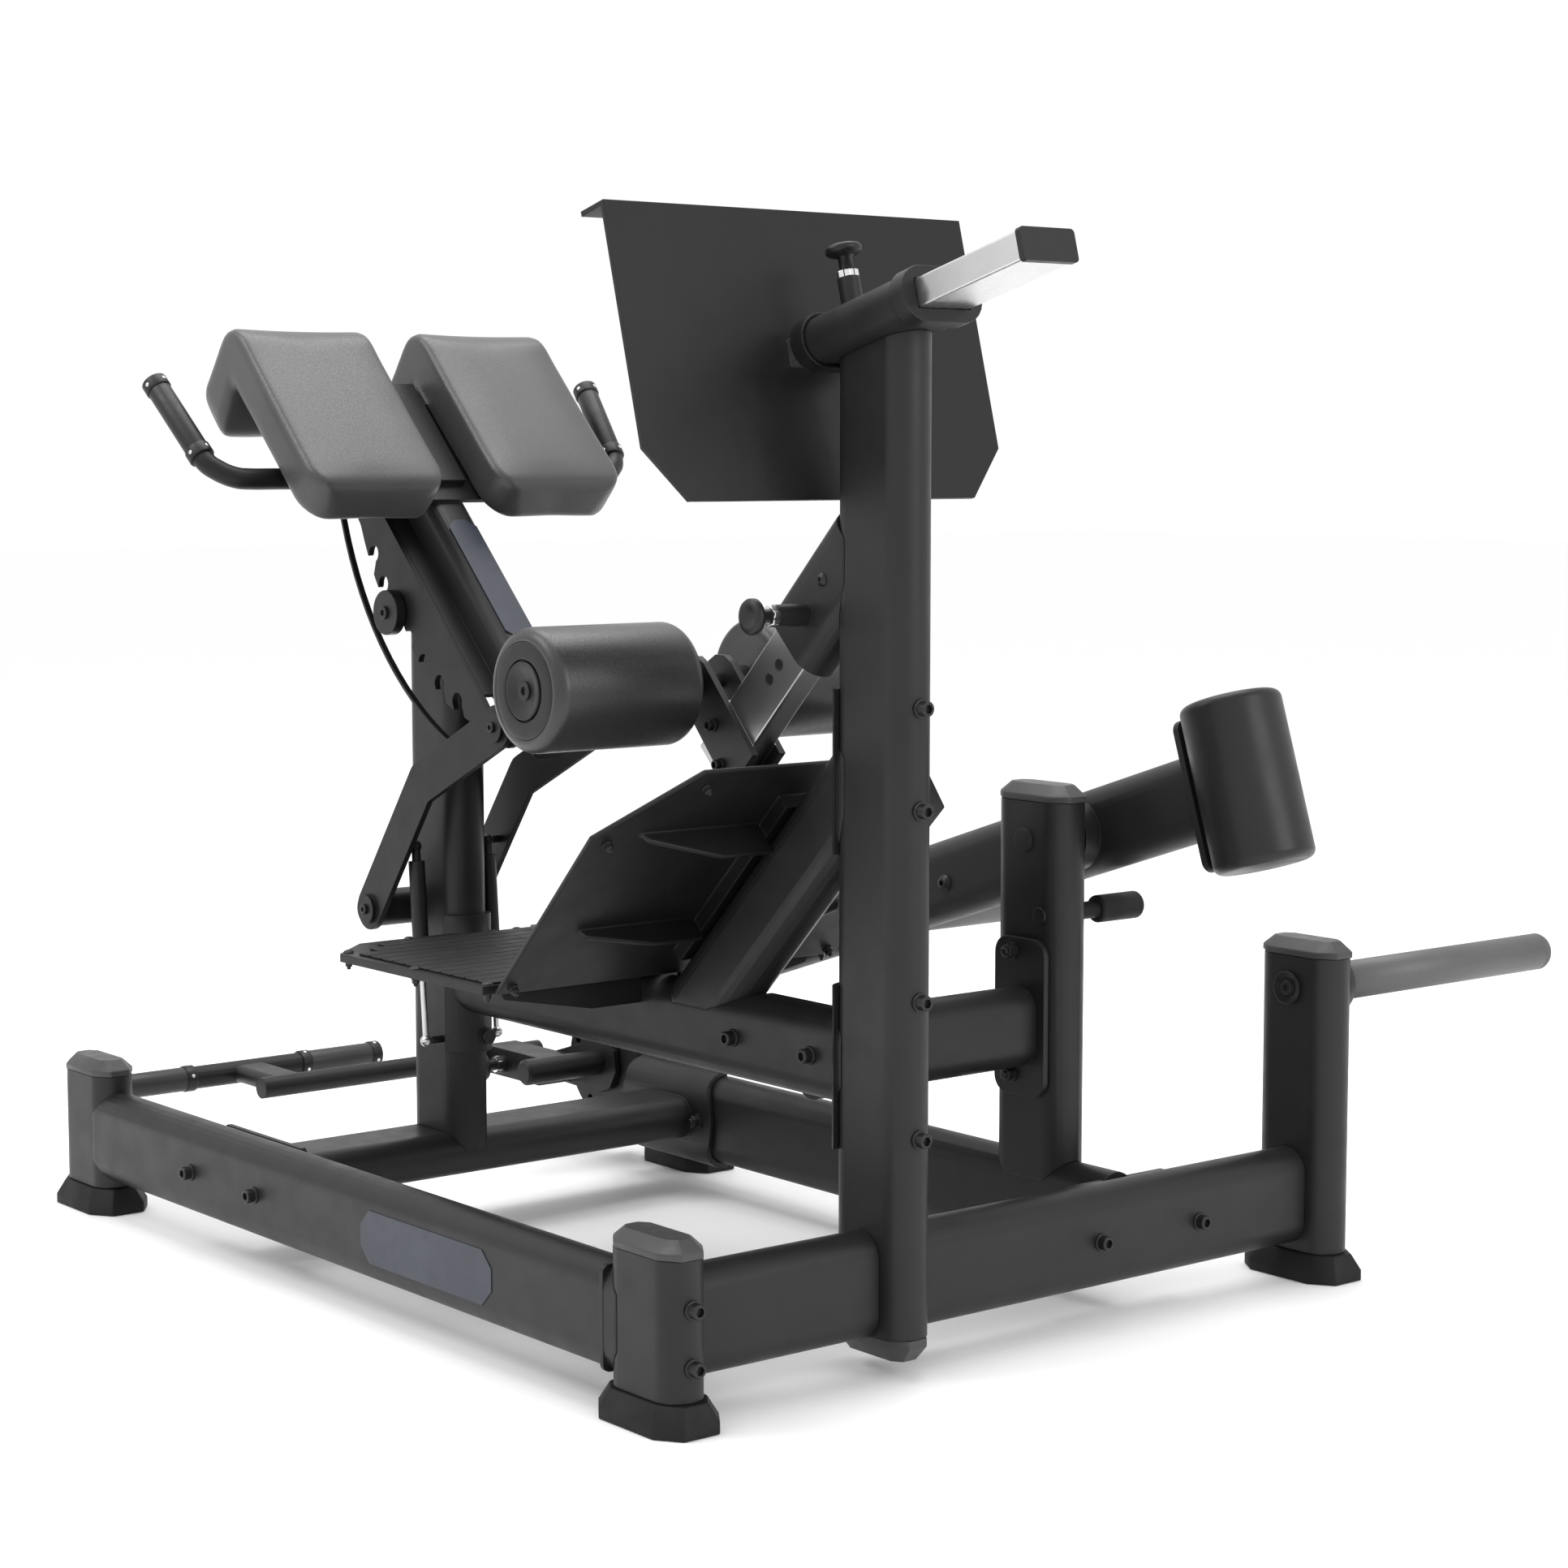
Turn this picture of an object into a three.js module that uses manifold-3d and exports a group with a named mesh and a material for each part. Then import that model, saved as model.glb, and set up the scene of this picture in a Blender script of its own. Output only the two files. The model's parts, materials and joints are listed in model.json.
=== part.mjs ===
// Hip-extension bench with an adjustable pad, two foot plates, ankle rollers and a counterweighted
// resistance lever.  Millimetres, +Z up.  In the machine's own axes X runs across the bench (the lever is
// on the +X side), Y runs from the tall front upright to the hip pads, and Z = 0 is the floor.

import * as THREE from 'three';
import { mergeVertices } from 'three/addons/utils/BufferGeometryUtils.js';
import { ConvexGeometry } from 'three/addons/geometries/ConvexGeometry.js';
import Module from 'manifold-3d';

const wasm = await Module();
wasm.setup();

// ---- driving dimensions ----------------------------------------------------------------------------

const DEG = Math.PI / 180;
const GAP = 0.3;            // clearance between neighbouring pieces
const ARC_STEPS = 3;        // two facets per step in a quarter circle
const PLATE = 8;            // bracket and saddle plate

const ORIGIN_X = 408.65;    // machine axes to the part's origin, the centre of its footprint
const ORIGIN_Y = 610;

const POST = { deep: 125, wide: 60 };      // flat-oval tube of posts and rails
const BEAM = { deep: 107, wide: 60 };      // flat-oval tube of beams, brace and lever
const HORN_RADIUS = 25;                    // sleeve that takes 50 mm weight plates

const LEFT_X = -321;
const RIGHT_POST_X = 713;
const LEVER_POST = { x: 405, y: 167, top: 619.5 };
const REAR_LEFT_Y = 1312;
const REAR_RIGHT = { x: 483, y: 1007 };
const LOW_POST_TOP = 191;
const HIGH_POST_TOP = 414.5;
const CAP_HEIGHT = 21;
const FOOT = { wide: 90, deep: 158, high: 34, skirt: 13, chamfer: 30, taper: 22 };

const RAIL_Z = 106;
const CROSS_RAIL_Y = 909;
const RIGHT_RAIL_X = 405;
const RIGHT_RAIL_END = 1018;
const SPACER = { inner: 20, front: 45, rear: 10, low: 62, high: 150 };   // block beside the rear right post

const UPRIGHT = { bottom: 48, top: 1200 };
const PAD_POST = { y: 905, top: 846, slope: -50 };
const MAIN_BEAM_Z = 355.5;
const CROSS_BEAM_Z = 336;
const BRACE_T = 501.3;       // height of the brace axis in the 45 degree frame

const FOOT_PLATE = { t: 579.8, thick: 6, low: -6, wideEnd: -297, top: -403, half: 260, topHalf: 161 };
const PLATFORM = { z: 409.3, thick: 10.7, front: 416, side: 742, rear: 801, half: 270, rearHalf: 205 };

const HEAD = { z: 1197, tilt: -15 * DEG, wide: 108, high: 55, front: 92, rear: -90, pin: 50 };
const COLLAR = { proud: 9, length: 22, lap: 14, slotWide: 76.4, slotHigh: 34.4 };   // guides on the head tube
const HEAD_BAR = { wide: 75, high: 33, rear: -264.5, front: 131.7, cap: 8 };
const BACK_PLATE = { half: 263, high: 171, chamfer: 60, chamferHalf: 211, lip: 44, y: 132, thick: 6 };

const ANKLE = { t: 688, end: -487, wide: 34, deep: 69, top: -560, foot: -268, travel: 77 };
const ROLLER = { s: -319.6, t: 779, radius: 74, inner: 57, outer: 270 };

const ARM_PIVOT = { y: 976, z: 435 };
const PAD_PIVOT = { y: 662, z: 703 };
const ARM_ELBOW = { y: 843, z: 616.5 };
const ARM_INNER = 76;
const ARM_OUTER = 84;
const LOCK_PIN = { y: 925, z: 839, radius: 9 };
const RACK = { inner: 60, outer: 68, pitch: 6.5, tip: 427, guard: 470, first: -2, last: 4 };
const RACK_ANGLES = { upper: 24, lower: -20.5, guardUpper: 30, guardLower: -22.5 };   // degrees
const LIFT = 19 * DEG;       // travel of the pad arms
const TILT = 8.5 * DEG;      // extra tilt of the pad frame over that travel

const SPRING = { x: 57, lowY: 878, lowZ: 264, highY: 898, highZ: 526, radius: 11 };
const STORAGE_HORN = { y: 0, z: 372, length: 416 };

const LEVER = { x: 495, y: 169, z: 570, tilt: -18 * DEG, rear: -206, front: 1022 };
const COUNTERWEIGHT = { y: -277, radius: 62.5, length: 209 };
const LEVER_HORN = { y: 616.3, length: 430 };
const BUMPER = { y: 138, z: 478 };
const DROP_BAR = { inner: 440.5, outer: 464.7, y: 1113, half: 20, top: 330, bottom: 24 };
const DRUM = { y: 1113, z: 146, radius: 86, inner: 404, outer: 438.5 };
const T_BAR = { y: 1338, z: 127, radius: 15.5, left: -50, right: 440 };
const T_GRIP = { y: 1471, radius: 17, half: 227 };

// ---- materials -------------------------------------------------------------------------------------

function finish(color, roughness, metalness) {
  return new THREE.MeshStandardMaterial({ color, roughness, metalness });
}

const FRAME_PAINT = finish(0x3a3a3a, 0.5, 0.3);
const PLATE_PAINT = finish(0x2c2c2c, 0.55, 0.3);
const CAP_PLASTIC = finish(0x5c5c5c, 0.5, 0.0);
const BLACK_PLASTIC = finish(0x1c1c1c, 0.45, 0.0);
const RUBBER = finish(0x161616, 0.8, 0.0);
const UPHOLSTERY = finish(0x555555, 0.65, 0.0);
const BRUSHED_STEEL = finish(0xc4c4c4, 0.3, 1.0);
const HORN_STEEL = finish(0x707070, 0.4, 0.8);

// ---- solids ----------------------------------------------------------------------------------------

// Merges a geometry's corners and leaves out triangles that have collapsed to a line.
function toSolid(geometry) {
  const bare = geometry.clone();
  bare.deleteAttribute('normal');
  bare.deleteAttribute('uv');
  const merged = mergeVertices(bare, 1e-4);
  const corners = merged.index.array;
  const kept = [];
  for (let i = 0; i < corners.length; i += 3) {
    const [a, b, c] = corners.slice(i, i + 3);
    if (a !== b && b !== c && c !== a) {
      kept.push(a, b, c);
    }
  }
  return new wasm.Manifold(new wasm.Mesh({
    numProp: 3,
    vertProperties: Float32Array.from(merged.attributes.position.array),
    triVerts: Uint32Array.from(kept),
  }));
}

function toGeometry(solid) {
  const mesh = solid.getMesh();
  const geometry = new THREE.BufferGeometry();
  geometry.setAttribute('position', new THREE.BufferAttribute(mesh.vertProperties, 3));
  geometry.setIndex(new THREE.BufferAttribute(mesh.triVerts, 1));
  geometry.computeVertexNormals();
  return geometry;
}

function join(...pieces) {
  return toGeometry(pieces.map(toSolid).reduce((sum, next) => sum.add(next)));
}

function cut(body, ...tools) {
  return toGeometry(tools.map(toSolid).reduce((rest, tool) => rest.subtract(tool), toSolid(body)));
}

function common(body, other) {
  return toGeometry(toSolid(body).intersect(toSolid(other)));
}

// ---- outlines and stock ----------------------------------------------------------------------------

const TO_X = new THREE.Matrix4().set(0, 0, 1, 0, 1, 0, 0, 0, 0, 1, 0, 0, 0, 0, 0, 1);
const TO_Y = new THREE.Matrix4().set(0, 1, 0, 0, 0, 0, 1, 0, 1, 0, 0, 0, 0, 0, 0, 1);

function roundRect(width, height, radius) {
  const w = width / 2 - radius;
  const h = height / 2 - radius;
  const shape = new THREE.Shape();
  shape.absarc(w, h, radius, 0, 90 * DEG);
  shape.absarc(-w, h, radius, 90 * DEG, 180 * DEG);
  shape.absarc(-w, -h, radius, 180 * DEG, 270 * DEG);
  shape.absarc(w, -h, radius, 270 * DEG, 360 * DEG);
  return shape;
}

function oval(width, height) {
  return roundRect(width, height, Math.min(width, height) / 2);
}

function polygon(points) {
  return new THREE.Shape(points.map(([x, y]) => new THREE.Vector2(x, y)));
}

function extrude(outline, start, end) {
  const options = { depth: end - start, bevelEnabled: false, curveSegments: ARC_STEPS };
  return new THREE.ExtrudeGeometry(outline, options).translate(0, 0, start);
}

// Along X the outline's x and y are Y and Z; along Y they are Z and X.
function alongX(outline, start, end) {
  return extrude(outline, start, end).applyMatrix4(TO_X);
}

function alongY(outline, start, end) {
  return extrude(outline, start, end).applyMatrix4(TO_Y);
}

function box(x0, x1, y0, y1, z0, z1) {
  const size = new THREE.BoxGeometry(x1 - x0, y1 - y0, z1 - z0);
  return size.translate((x0 + x1) / 2, (y0 + y1) / 2, (z0 + z1) / 2);
}

function rodX(radius, start, end, sides = 20) {
  const rod = new THREE.CylinderGeometry(radius, radius, end - start, sides);
  return rod.rotateZ(-90 * DEG).translate((start + end) / 2, 0, 0);
}

function rodZ(radius, start, end, sides = 20) {
  const rod = new THREE.CylinderGeometry(radius, radius, end - start, sides);
  return rod.rotateX(90 * DEG).translate(0, 0, (start + end) / 2);
}

// A body of revolution about X; points are [distance along X, radius].
function turnedX(points, sides = 32) {
  const profile = points.map(([x, radius]) => new THREE.Vector2(radius, x));
  return new THREE.LatheGeometry(profile, sides).rotateZ(-90 * DEG);
}

function octagon(wide, deep, chamfer, z) {
  const x = wide / 2;
  const y = deep / 2;
  const corners = [];
  for (const [sx, sy] of [[1, 1], [-1, 1], [-1, -1], [1, -1]]) {
    corners.push(new THREE.Vector3(sx * x, sy * (y - chamfer), z));
    corners.push(new THREE.Vector3(sx * (x - chamfer * 0.7), sy * y, z));
  }
  return corners;
}

function postTube(bottom, top, grow = 0) {
  return extrude(oval(POST.wide + grow, POST.deep + grow), bottom, top);
}

function railAlongY(start, end, grow = 0) {
  return alongY(oval(POST.deep + grow, POST.wide + grow), start, end);
}

function railAlongX(start, end) {
  return alongX(oval(POST.wide, POST.deep), start, end);
}

function flatRailAlongX(start, end, grow = 0) {
  return alongX(oval(POST.deep + grow, POST.wide + grow), start, end);
}

// A plate wrapped round the +Y end of a post, open towards -Y.
function saddle(bottom, top, reach) {
  const shell = postTube(bottom, top, 2 * PLATE);
  return common(shell, box(-POST.wide, POST.wide, reach, POST.deep, bottom - 1, top + 1));
}

// ---- scene -----------------------------------------------------------------------------------------

const machine = new THREE.Group();
machine.position.set(-ORIGIN_X, -ORIGIN_Y, 0);

function frame(x, y, z, tilt = 0) {
  const group = new THREE.Group();
  group.position.set(x, y, z);
  group.rotation.x = tilt;
  machine.add(group);
  return group;
}

function piece(group, name, geometry, material, x = 0, y = 0, z = 0) {
  const mesh = new THREE.Mesh(geometry, material);
  mesh.name = name;
  mesh.position.set(x, y, z);
  group.add(mesh);
}

const base = frame(0, 0, 0);
const slope = frame(0, 0, 0, -45 * DEG);          // Y runs down the foot plate, Z out of it
const head = frame(0, 0, HEAD.z, HEAD.tilt);      // Y runs along the upper slide bar
const padFrame = frame(0, PAD_PIVOT.y, PAD_PIVOT.z, 45 * DEG);   // Y runs up under the pads
const lever = frame(LEVER.x, LEVER.y, LEVER.z, LEVER.tilt);      // Y runs along the lever arm

// ---- posts, caps and feet --------------------------------------------------------------------------

function postCap(bottom) {
  const rim = octagon(POST.wide + 2, POST.deep + 2, 24, bottom);
  const shoulder = octagon(POST.wide + 2, POST.deep + 2, 24, bottom + CAP_HEIGHT * 0.35);
  const crown = octagon(POST.wide - 26, POST.deep - 30, 12, bottom + CAP_HEIGHT);
  return new ConvexGeometry([...rim, ...shoulder, ...crown]);
}

function rubberFoot() {
  const sole = octagon(FOOT.wide, FOOT.deep, FOOT.chamfer, 0);
  const skirt = octagon(FOOT.wide, FOOT.deep, FOOT.chamfer, FOOT.skirt);
  const collar = octagon(FOOT.wide - FOOT.taper, FOOT.deep - FOOT.taper, FOOT.chamfer - 4, FOOT.high);
  return new ConvexGeometry([...sole, ...skirt, ...collar]);
}

function cornerPosts() {
  const corners = [
    ['front_left', LEFT_X, 0, LOW_POST_TOP],
    ['rear_left', LEFT_X, REAR_LEFT_Y, LOW_POST_TOP],
    ['front_right', RIGHT_POST_X, 0, HIGH_POST_TOP],
    ['rear_right', REAR_RIGHT.x, REAR_RIGHT.y, LOW_POST_TOP + 10],
  ];
  for (const [place, x, y, top] of corners) {
    piece(base, `foot_${place}`, rubberFoot(), RUBBER, x, y);
    piece(base, `post_${place}`, postTube(FOOT.high + GAP, top), FRAME_PAINT, x, y);
  }
}

function postCaps() {
  piece(base, 'cap_front_left', postCap(LOW_POST_TOP + GAP), CAP_PLASTIC, LEFT_X);
  piece(base, 'cap_rear_left', postCap(LOW_POST_TOP + GAP), CAP_PLASTIC, LEFT_X, REAR_LEFT_Y);
  piece(base, 'cap_front_right', postCap(HIGH_POST_TOP + GAP), CAP_PLASTIC, RIGHT_POST_X);
  piece(base, 'cap_lever_post', postCap(LEVER_POST.top + GAP), CAP_PLASTIC, LEVER_POST.x, LEVER_POST.y);
}

// ---- base rails ------------------------------------------------------------------------------------

// Bracket plate with its upper corners cut off, facing along X.
function bracketOutline(half, bottom, top, chamfer) {
  return polygon([[-half, bottom], [half, bottom], [half, top - chamfer], [half - chamfer, top],
    [chamfer - half, top], [-half, top - chamfer]]);
}

function leftRail() {
  const reach = POST.deep / 2;
  const tube = railAlongY(reach - 30, REAR_LEFT_Y - reach + 30).translate(0, 0, RAIL_Z);
  const endPlate = alongY(roundRect(POST.deep - 4, POST.wide + 1, 10), reach - 2, reach + 4);
  const posts = [0, REAR_LEFT_Y].map((y) => postTube(0, 400, 2 * GAP).translate(0, y, 0));
  return cut(join(tube, endPlate.translate(0, 0, RAIL_Z)), ...posts);
}

function frontRails() {
  const face = POST.wide / 2 + GAP;
  const nearTube = railAlongX(LEFT_X + face, -face).translate(0, 0, RAIL_Z);
  const farTube = railAlongX(face, RIGHT_POST_X - face).translate(0, 0, RAIL_Z);
  piece(base, 'rail_front_near', nearTube, FRAME_PAINT);
  piece(base, 'rail_front_far', farTube, FRAME_PAINT);
}

// Outline of the saddle plate in Y and Z, with sides that swell at mid height.
function swollenPlate(half, height, bulge) {
  const h = height / 2;
  const shape = new THREE.Shape();
  shape.moveTo(-half, -h);
  shape.lineTo(half, -h);
  shape.bezierCurveTo(half, -h / 2, half + bulge, -h / 2, half + bulge, 0);
  shape.bezierCurveTo(half + bulge, h / 2, half, h / 2, half, h);
  shape.lineTo(-half, h);
  shape.bezierCurveTo(-half, h / 2, -half - bulge, h / 2, -half - bulge, 0);
  shape.bezierCurveTo(-half - bulge, -h / 2, -half, -h / 2, -half, -h);
  return shape;
}

function crossRail() {
  const wall = LEFT_X + POST.wide / 2 + GAP;
  const tube = flatRailAlongX(wall, RIGHT_RAIL_X).translate(0, 0, RAIL_Z);
  const bracket = alongX(bracketOutline(118, 48, 160, 22), wall, wall + PLATE);
  const wrap = railAlongY(-140, 140, 2 * PLATE).translate(RIGHT_RAIL_X, 0, RAIL_Z);
  const swell = alongX(swollenPlate(90, POST.deep + 4 * PLATE, 16), RIGHT_RAIL_X - 60, RIGHT_RAIL_X + 4);
  const rail = railAlongY(-160, 160, 2 * GAP).translate(RIGHT_RAIL_X, 0, RAIL_Z);
  return cut(join(tube, bracket, common(wrap, swell.translate(0, 0, RAIL_Z))), rail);
}

function rightRail() {
  const wall = POST.wide / 2 + GAP;
  const tube = railAlongY(wall, RIGHT_RAIL_END).translate(0, 0, RAIL_Z);
  const plate = alongY(polygon([[50, -105], [140, -105], [160, -85], [160, 85], [140, 105], [50, 105]]),
    wall, wall + PLATE);
  const outer = REAR_RIGHT.x - RIGHT_RAIL_X - POST.wide / 2 - GAP;
  const spacer = box(SPACER.inner, outer, REAR_RIGHT.y - SPACER.front, REAR_RIGHT.y + SPACER.rear,
    SPACER.low, SPACER.high);
  return join(tube, plate, spacer);
}

function rails() {
  piece(base, 'rail_left', leftRail(), FRAME_PAINT, LEFT_X);
  frontRails();
  piece(base, 'rail_cross', crossRail(), FRAME_PAINT, 0, CROSS_RAIL_Y);
  piece(base, 'rail_right', rightRail(), FRAME_PAINT, RIGHT_RAIL_X);
}

// ---- uprights and beams ----------------------------------------------------------------------------

// The tall post; its top is coped to the head tube and its back is open where the ankle slide enters.
function upright() {
  const tube = postTube(UPRIGHT.bottom, UPRIGHT.top);
  const headTube = alongY(oval(HEAD.high + 2 * GAP, HEAD.wide + 2 * GAP), -200, 200)
    .rotateX(HEAD.tilt).translate(0, 0, HEAD.z);
  const w = ANKLE.wide / 2 + 1;
  const d = ANKLE.deep / 2 + 1;
  const pocket = box(-w, w, ANKLE.top - ANKLE.travel, ANKLE.top + 60, ANKLE.t - d, ANKLE.t + d)
    .rotateX(-45 * DEG);
  return cut(tube, headTube, pocket);
}

// Closing cap on the lower end of the tall post, tapering downwards.
function uprightCap() {
  const rim = octagon(POST.wide, POST.deep, 24, UPRIGHT.bottom - GAP);
  const shoulder = octagon(POST.wide, POST.deep, 24, UPRIGHT.bottom - 10);
  const crown = octagon(POST.wide - 24, POST.deep - 30, 12, UPRIGHT.bottom - 28);
  return new ConvexGeometry([...rim, ...shoulder, ...crown]);
}

// Post behind the platform with the cross tube that the pad arms turn on and the gas springs' studs.
function padPost() {
  const tube = postTube(112, PAD_POST.top).translate(0, PAD_POST.y, 0);
  const pivotTube = rodX(25, -(ARM_INNER - 0.5), ARM_INNER - 0.5).translate(0, ARM_PIVOT.y, ARM_PIVOT.z);
  const rail = flatRailAlongX(-100, 100, 2 * GAP).translate(0, CROSS_RAIL_Y, RAIL_Z);
  const pinBore = rodX(LOCK_PIN.radius + GAP, -50, 50).translate(0, LOCK_PIN.y, LOCK_PIN.z);
  const lean = box(-50, 50, -200, 200, 0, 200).rotateX(45 * DEG).translate(0, 0, PAD_POST.slope);
  const studs = [-48.5, 25].map((x) => rodX(5, x, x + 23.5, 12).translate(0, SPRING.lowY, SPRING.lowZ));
  const slant = lean.translate(0, PAD_POST.y, PAD_POST.y);
  return cut(join(tube, pivotTube, ...studs), rail, pinBore, slant);
}

function mainBeam() {
  const far = PAD_POST.y;
  const tube = alongY(oval(BEAM.deep, BEAM.wide), 40, far - 40).translate(0, 0, MAIN_BEAM_Z);
  const nearSaddle = saddle(254, 443, 48);
  const farSaddle = saddle(248, 434, 42).rotateZ(180 * DEG).translate(0, far, 0);
  const posts = [0, far].map((y) => postTube(0, 900, 2 * GAP).translate(0, y, 0));
  return cut(join(tube, nearSaddle, farSaddle), ...posts);
}

function brace() {
  const tube = alongY(oval(BEAM.deep, BEAM.wide), -480, -10).translate(0, 0, BRACE_T).rotateX(-45 * DEG);
  const beam = alongY(oval(BEAM.deep + 2 * GAP, BEAM.wide + 2 * GAP), 0, 800).translate(0, 0, MAIN_BEAM_Z);
  return cut(join(tube, saddle(595, 784, 48)), postTube(0, 1100, 2 * GAP), beam);
}

function leverPost() {
  const tube = postTube(120, LEVER_POST.top);
  const rail = railAlongY(-200, 200, 2 * GAP).translate(RIGHT_RAIL_X - LEVER_POST.x, 0, RAIL_Z);
  const pivot = [0, LEVER.y - LEVER_POST.y, LEVER.z];
  const wall = POST.wide / 2;
  const spacer = rodX(24, wall - 5, wall + 4.7).translate(...pivot);
  const capDisc = rodX(15, -wall - 4, 5 - wall).translate(...pivot);
  return cut(join(tube, spacer, capDisc), rail);
}

function crossBeam() {
  const left = BEAM.wide / 2 + GAP;
  const right = LEVER_POST.x - POST.wide / 2 - GAP;
  const tube = alongX(oval(BEAM.wide, 102), left, right).translate(0, 0, CROSS_BEAM_Z);
  const beamPlate = alongX(roundRect(196, 96, 16), left, left + PLATE).translate(0, 0, 354);
  const postPlate = alongX(roundRect(90, 200, 22), right - PLATE, right).translate(0, 0, 348);
  return join(tube, beamPlate, postPlate);
}

function uprightsAndBeams() {
  piece(base, 'upright', upright(), FRAME_PAINT);
  piece(base, 'cap_upright', uprightCap(), CAP_PLASTIC);
  piece(base, 'pad_post', padPost(), FRAME_PAINT);
  piece(base, 'main_beam', mainBeam(), FRAME_PAINT);
  piece(base, 'brace', brace(), FRAME_PAINT);
  piece(base, 'lever_post', leverPost(), FRAME_PAINT, LEVER_POST.x, LEVER_POST.y);
  piece(base, 'cross_beam', crossBeam(), FRAME_PAINT, 0, LEVER_POST.y);
}

// ---- foot plates -----------------------------------------------------------------------------------

// Wing-shaped stiffener standing under a plate, between the tube's side and its own tip.
function wing(side, tip, depth, thick) {
  const near = BEAM.wide / 2 + GAP;
  const points = [[near, 0], [tip, 0], [tip - 8, -12], [near + 75, -depth], [near, -depth]];
  const shape = polygon(side > 0 ? points : points.map(([x, z]) => [-x, z]).reverse());
  return extrude(shape, -thick / 2, thick / 2).rotateX(90 * DEG);
}

function slopedPlate() {
  const p = FOOT_PLATE;
  const wide = p.half + 7;
  const outline = polygon([[-p.half, p.low], [p.half, p.low], [wide, p.wideEnd], [p.topHalf, p.top],
    [-p.topHalf, p.top], [-wide, p.wideEnd]].reverse());
  const sheet = extrude(outline, p.t - p.thick, p.t);
  const packer = box(-25, 25, -350, -60, BRACE_T + BEAM.deep / 2 + GAP, p.t - 1);
  const wings = [];
  for (const [s, depth] of [[-298, 44], [-120, 32]]) {
    for (const side of [-1, 1]) {
      wings.push(wing(side, 200, depth, 6).translate(0, s, p.t - p.thick + 0.5));
    }
  }
  return join(sheet, packer, ...wings);
}

function platform() {
  const p = PLATFORM;
  const right = [[p.half, p.front], [p.half, p.side], [p.rearHalf, p.rear], [62, p.rear], [45, p.rear - 22]];
  const left = right.map(([x, y]) => [-x, y]).reverse();
  const sheet = extrude(polygon([...right, ...left]), p.z, p.z + p.thick);
  const wings = [-1, 1].map((side) => wing(side, 240, 36, 6).translate(0, p.front + 12, p.z + 1));
  return join(sheet, ...wings);
}

// Upright foot plate on the upper slide, with a chamfered lower edge and a lip along its top.
function backPlate() {
  const p = BACK_PLATE;
  const low = -p.high + p.chamfer;
  const outline = polygon([[-p.half, p.high], [-p.half, low], [-p.chamferHalf, -p.high],
    [p.chamferHalf, -p.high], [p.half, low], [p.half, p.high]]);
  const sheet = extrude(outline, -p.thick, 0).rotateX(90 * DEG).translate(0, p.y, 0);
  const lip = box(-p.half, p.half, p.y, p.y + p.lip, p.high - p.thick, p.high);
  return join(sheet, lip);
}

function footPlates() {
  piece(slope, 'foot_plate_sloped', slopedPlate(), PLATE_PAINT);
  piece(base, 'platform', platform(), PLATE_PAINT);
  piece(head, 'foot_plate_upright', backPlate(), PLATE_PAINT);
}

// ---- spring-loaded pull pins -----------------------------------------------------------------------

// Threaded housing of a pull pin: sleeve and hexagon collar, standing on a wall along +Z.
function pinHousing(wall, sleeve, radius = 13) {
  const top = wall + sleeve;
  return join(rodZ(radius, wall - 1, top), rodZ(12, top - 1, top + 8, 6));
}

function pinBore(start, end) {
  return rodZ(5, start, end, 16);
}

// The moving pin: locking rod, stem and pull knob.
function pullPin(tip, stem, knob, knobRadius = 21) {
  return join(rodZ(4, tip, stem + 2, 16), rodZ(8, stem, knob + 1, 16), rodZ(knobRadius, knob, knob + 13));
}

// ---- upper slide -----------------------------------------------------------------------------------

function headTube() {
  const shell = alongY(oval(HEAD.high, HEAD.wide), HEAD.rear, HEAD.front);
  const hollow = alongY(oval(HEAD.high - 8, HEAD.wide - 8), HEAD.rear - 5, HEAD.front + 5);
  const housing = pinHousing(HEAD.high / 2, 37).translate(0, HEAD.pin, 0);
  return cut(join(shell, housing), hollow, pinBore(0, 100).translate(0, HEAD.pin, 0));
}

// Plastic guide that laps over an end of the head tube, with a slot for the slide bar; inward is +1 or -1.
function headCollar(end, inward) {
  const between = (outline, a, b) => alongY(outline, Math.min(a, b), Math.max(a, b));
  const c = COLLAR;
  const outer = between(oval(HEAD.high + c.proud, HEAD.wide + c.proud), end, end + inward * c.length);
  const tube = oval(HEAD.high + 2 * GAP, HEAD.wide + 2 * GAP);
  const seat = between(tube, end + inward * (c.length - c.lap), end + inward * 2 * c.length);
  const slot = box(-c.slotWide / 2, c.slotWide / 2, end - 40, end + 40, -c.slotHigh / 2, c.slotHigh / 2);
  return cut(outer, seat, slot);
}

function upperSlide() {
  piece(head, 'head_tube', headTube(), FRAME_PAINT);
  piece(head, 'head_collar_front', headCollar(HEAD.front + 8 + GAP, -1), BLACK_PLASTIC);
  piece(head, 'head_collar_rear', headCollar(HEAD.rear - 8 - GAP, 1), BLACK_PLASTIC);
  const bar = alongY(roundRect(HEAD_BAR.high, HEAD_BAR.wide, 3), HEAD_BAR.rear, HEAD_BAR.front);
  piece(head, 'upper_slide_bar', bar, BRUSHED_STEEL);
  const cap = alongY(roundRect(37, 79, 5), HEAD_BAR.rear - HEAD_BAR.cap, HEAD_BAR.rear - GAP);
  piece(head, 'upper_slide_cap', cap, BLACK_PLASTIC);
  piece(head, 'upper_pull_pin', pullPin(17, 73, 90), BLACK_PLASTIC, 0, HEAD.pin, 0);
}

// ---- ankle hold-down -------------------------------------------------------------------------------

const ANKLE_PIN = { s: -538, t: 686.6 };

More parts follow.
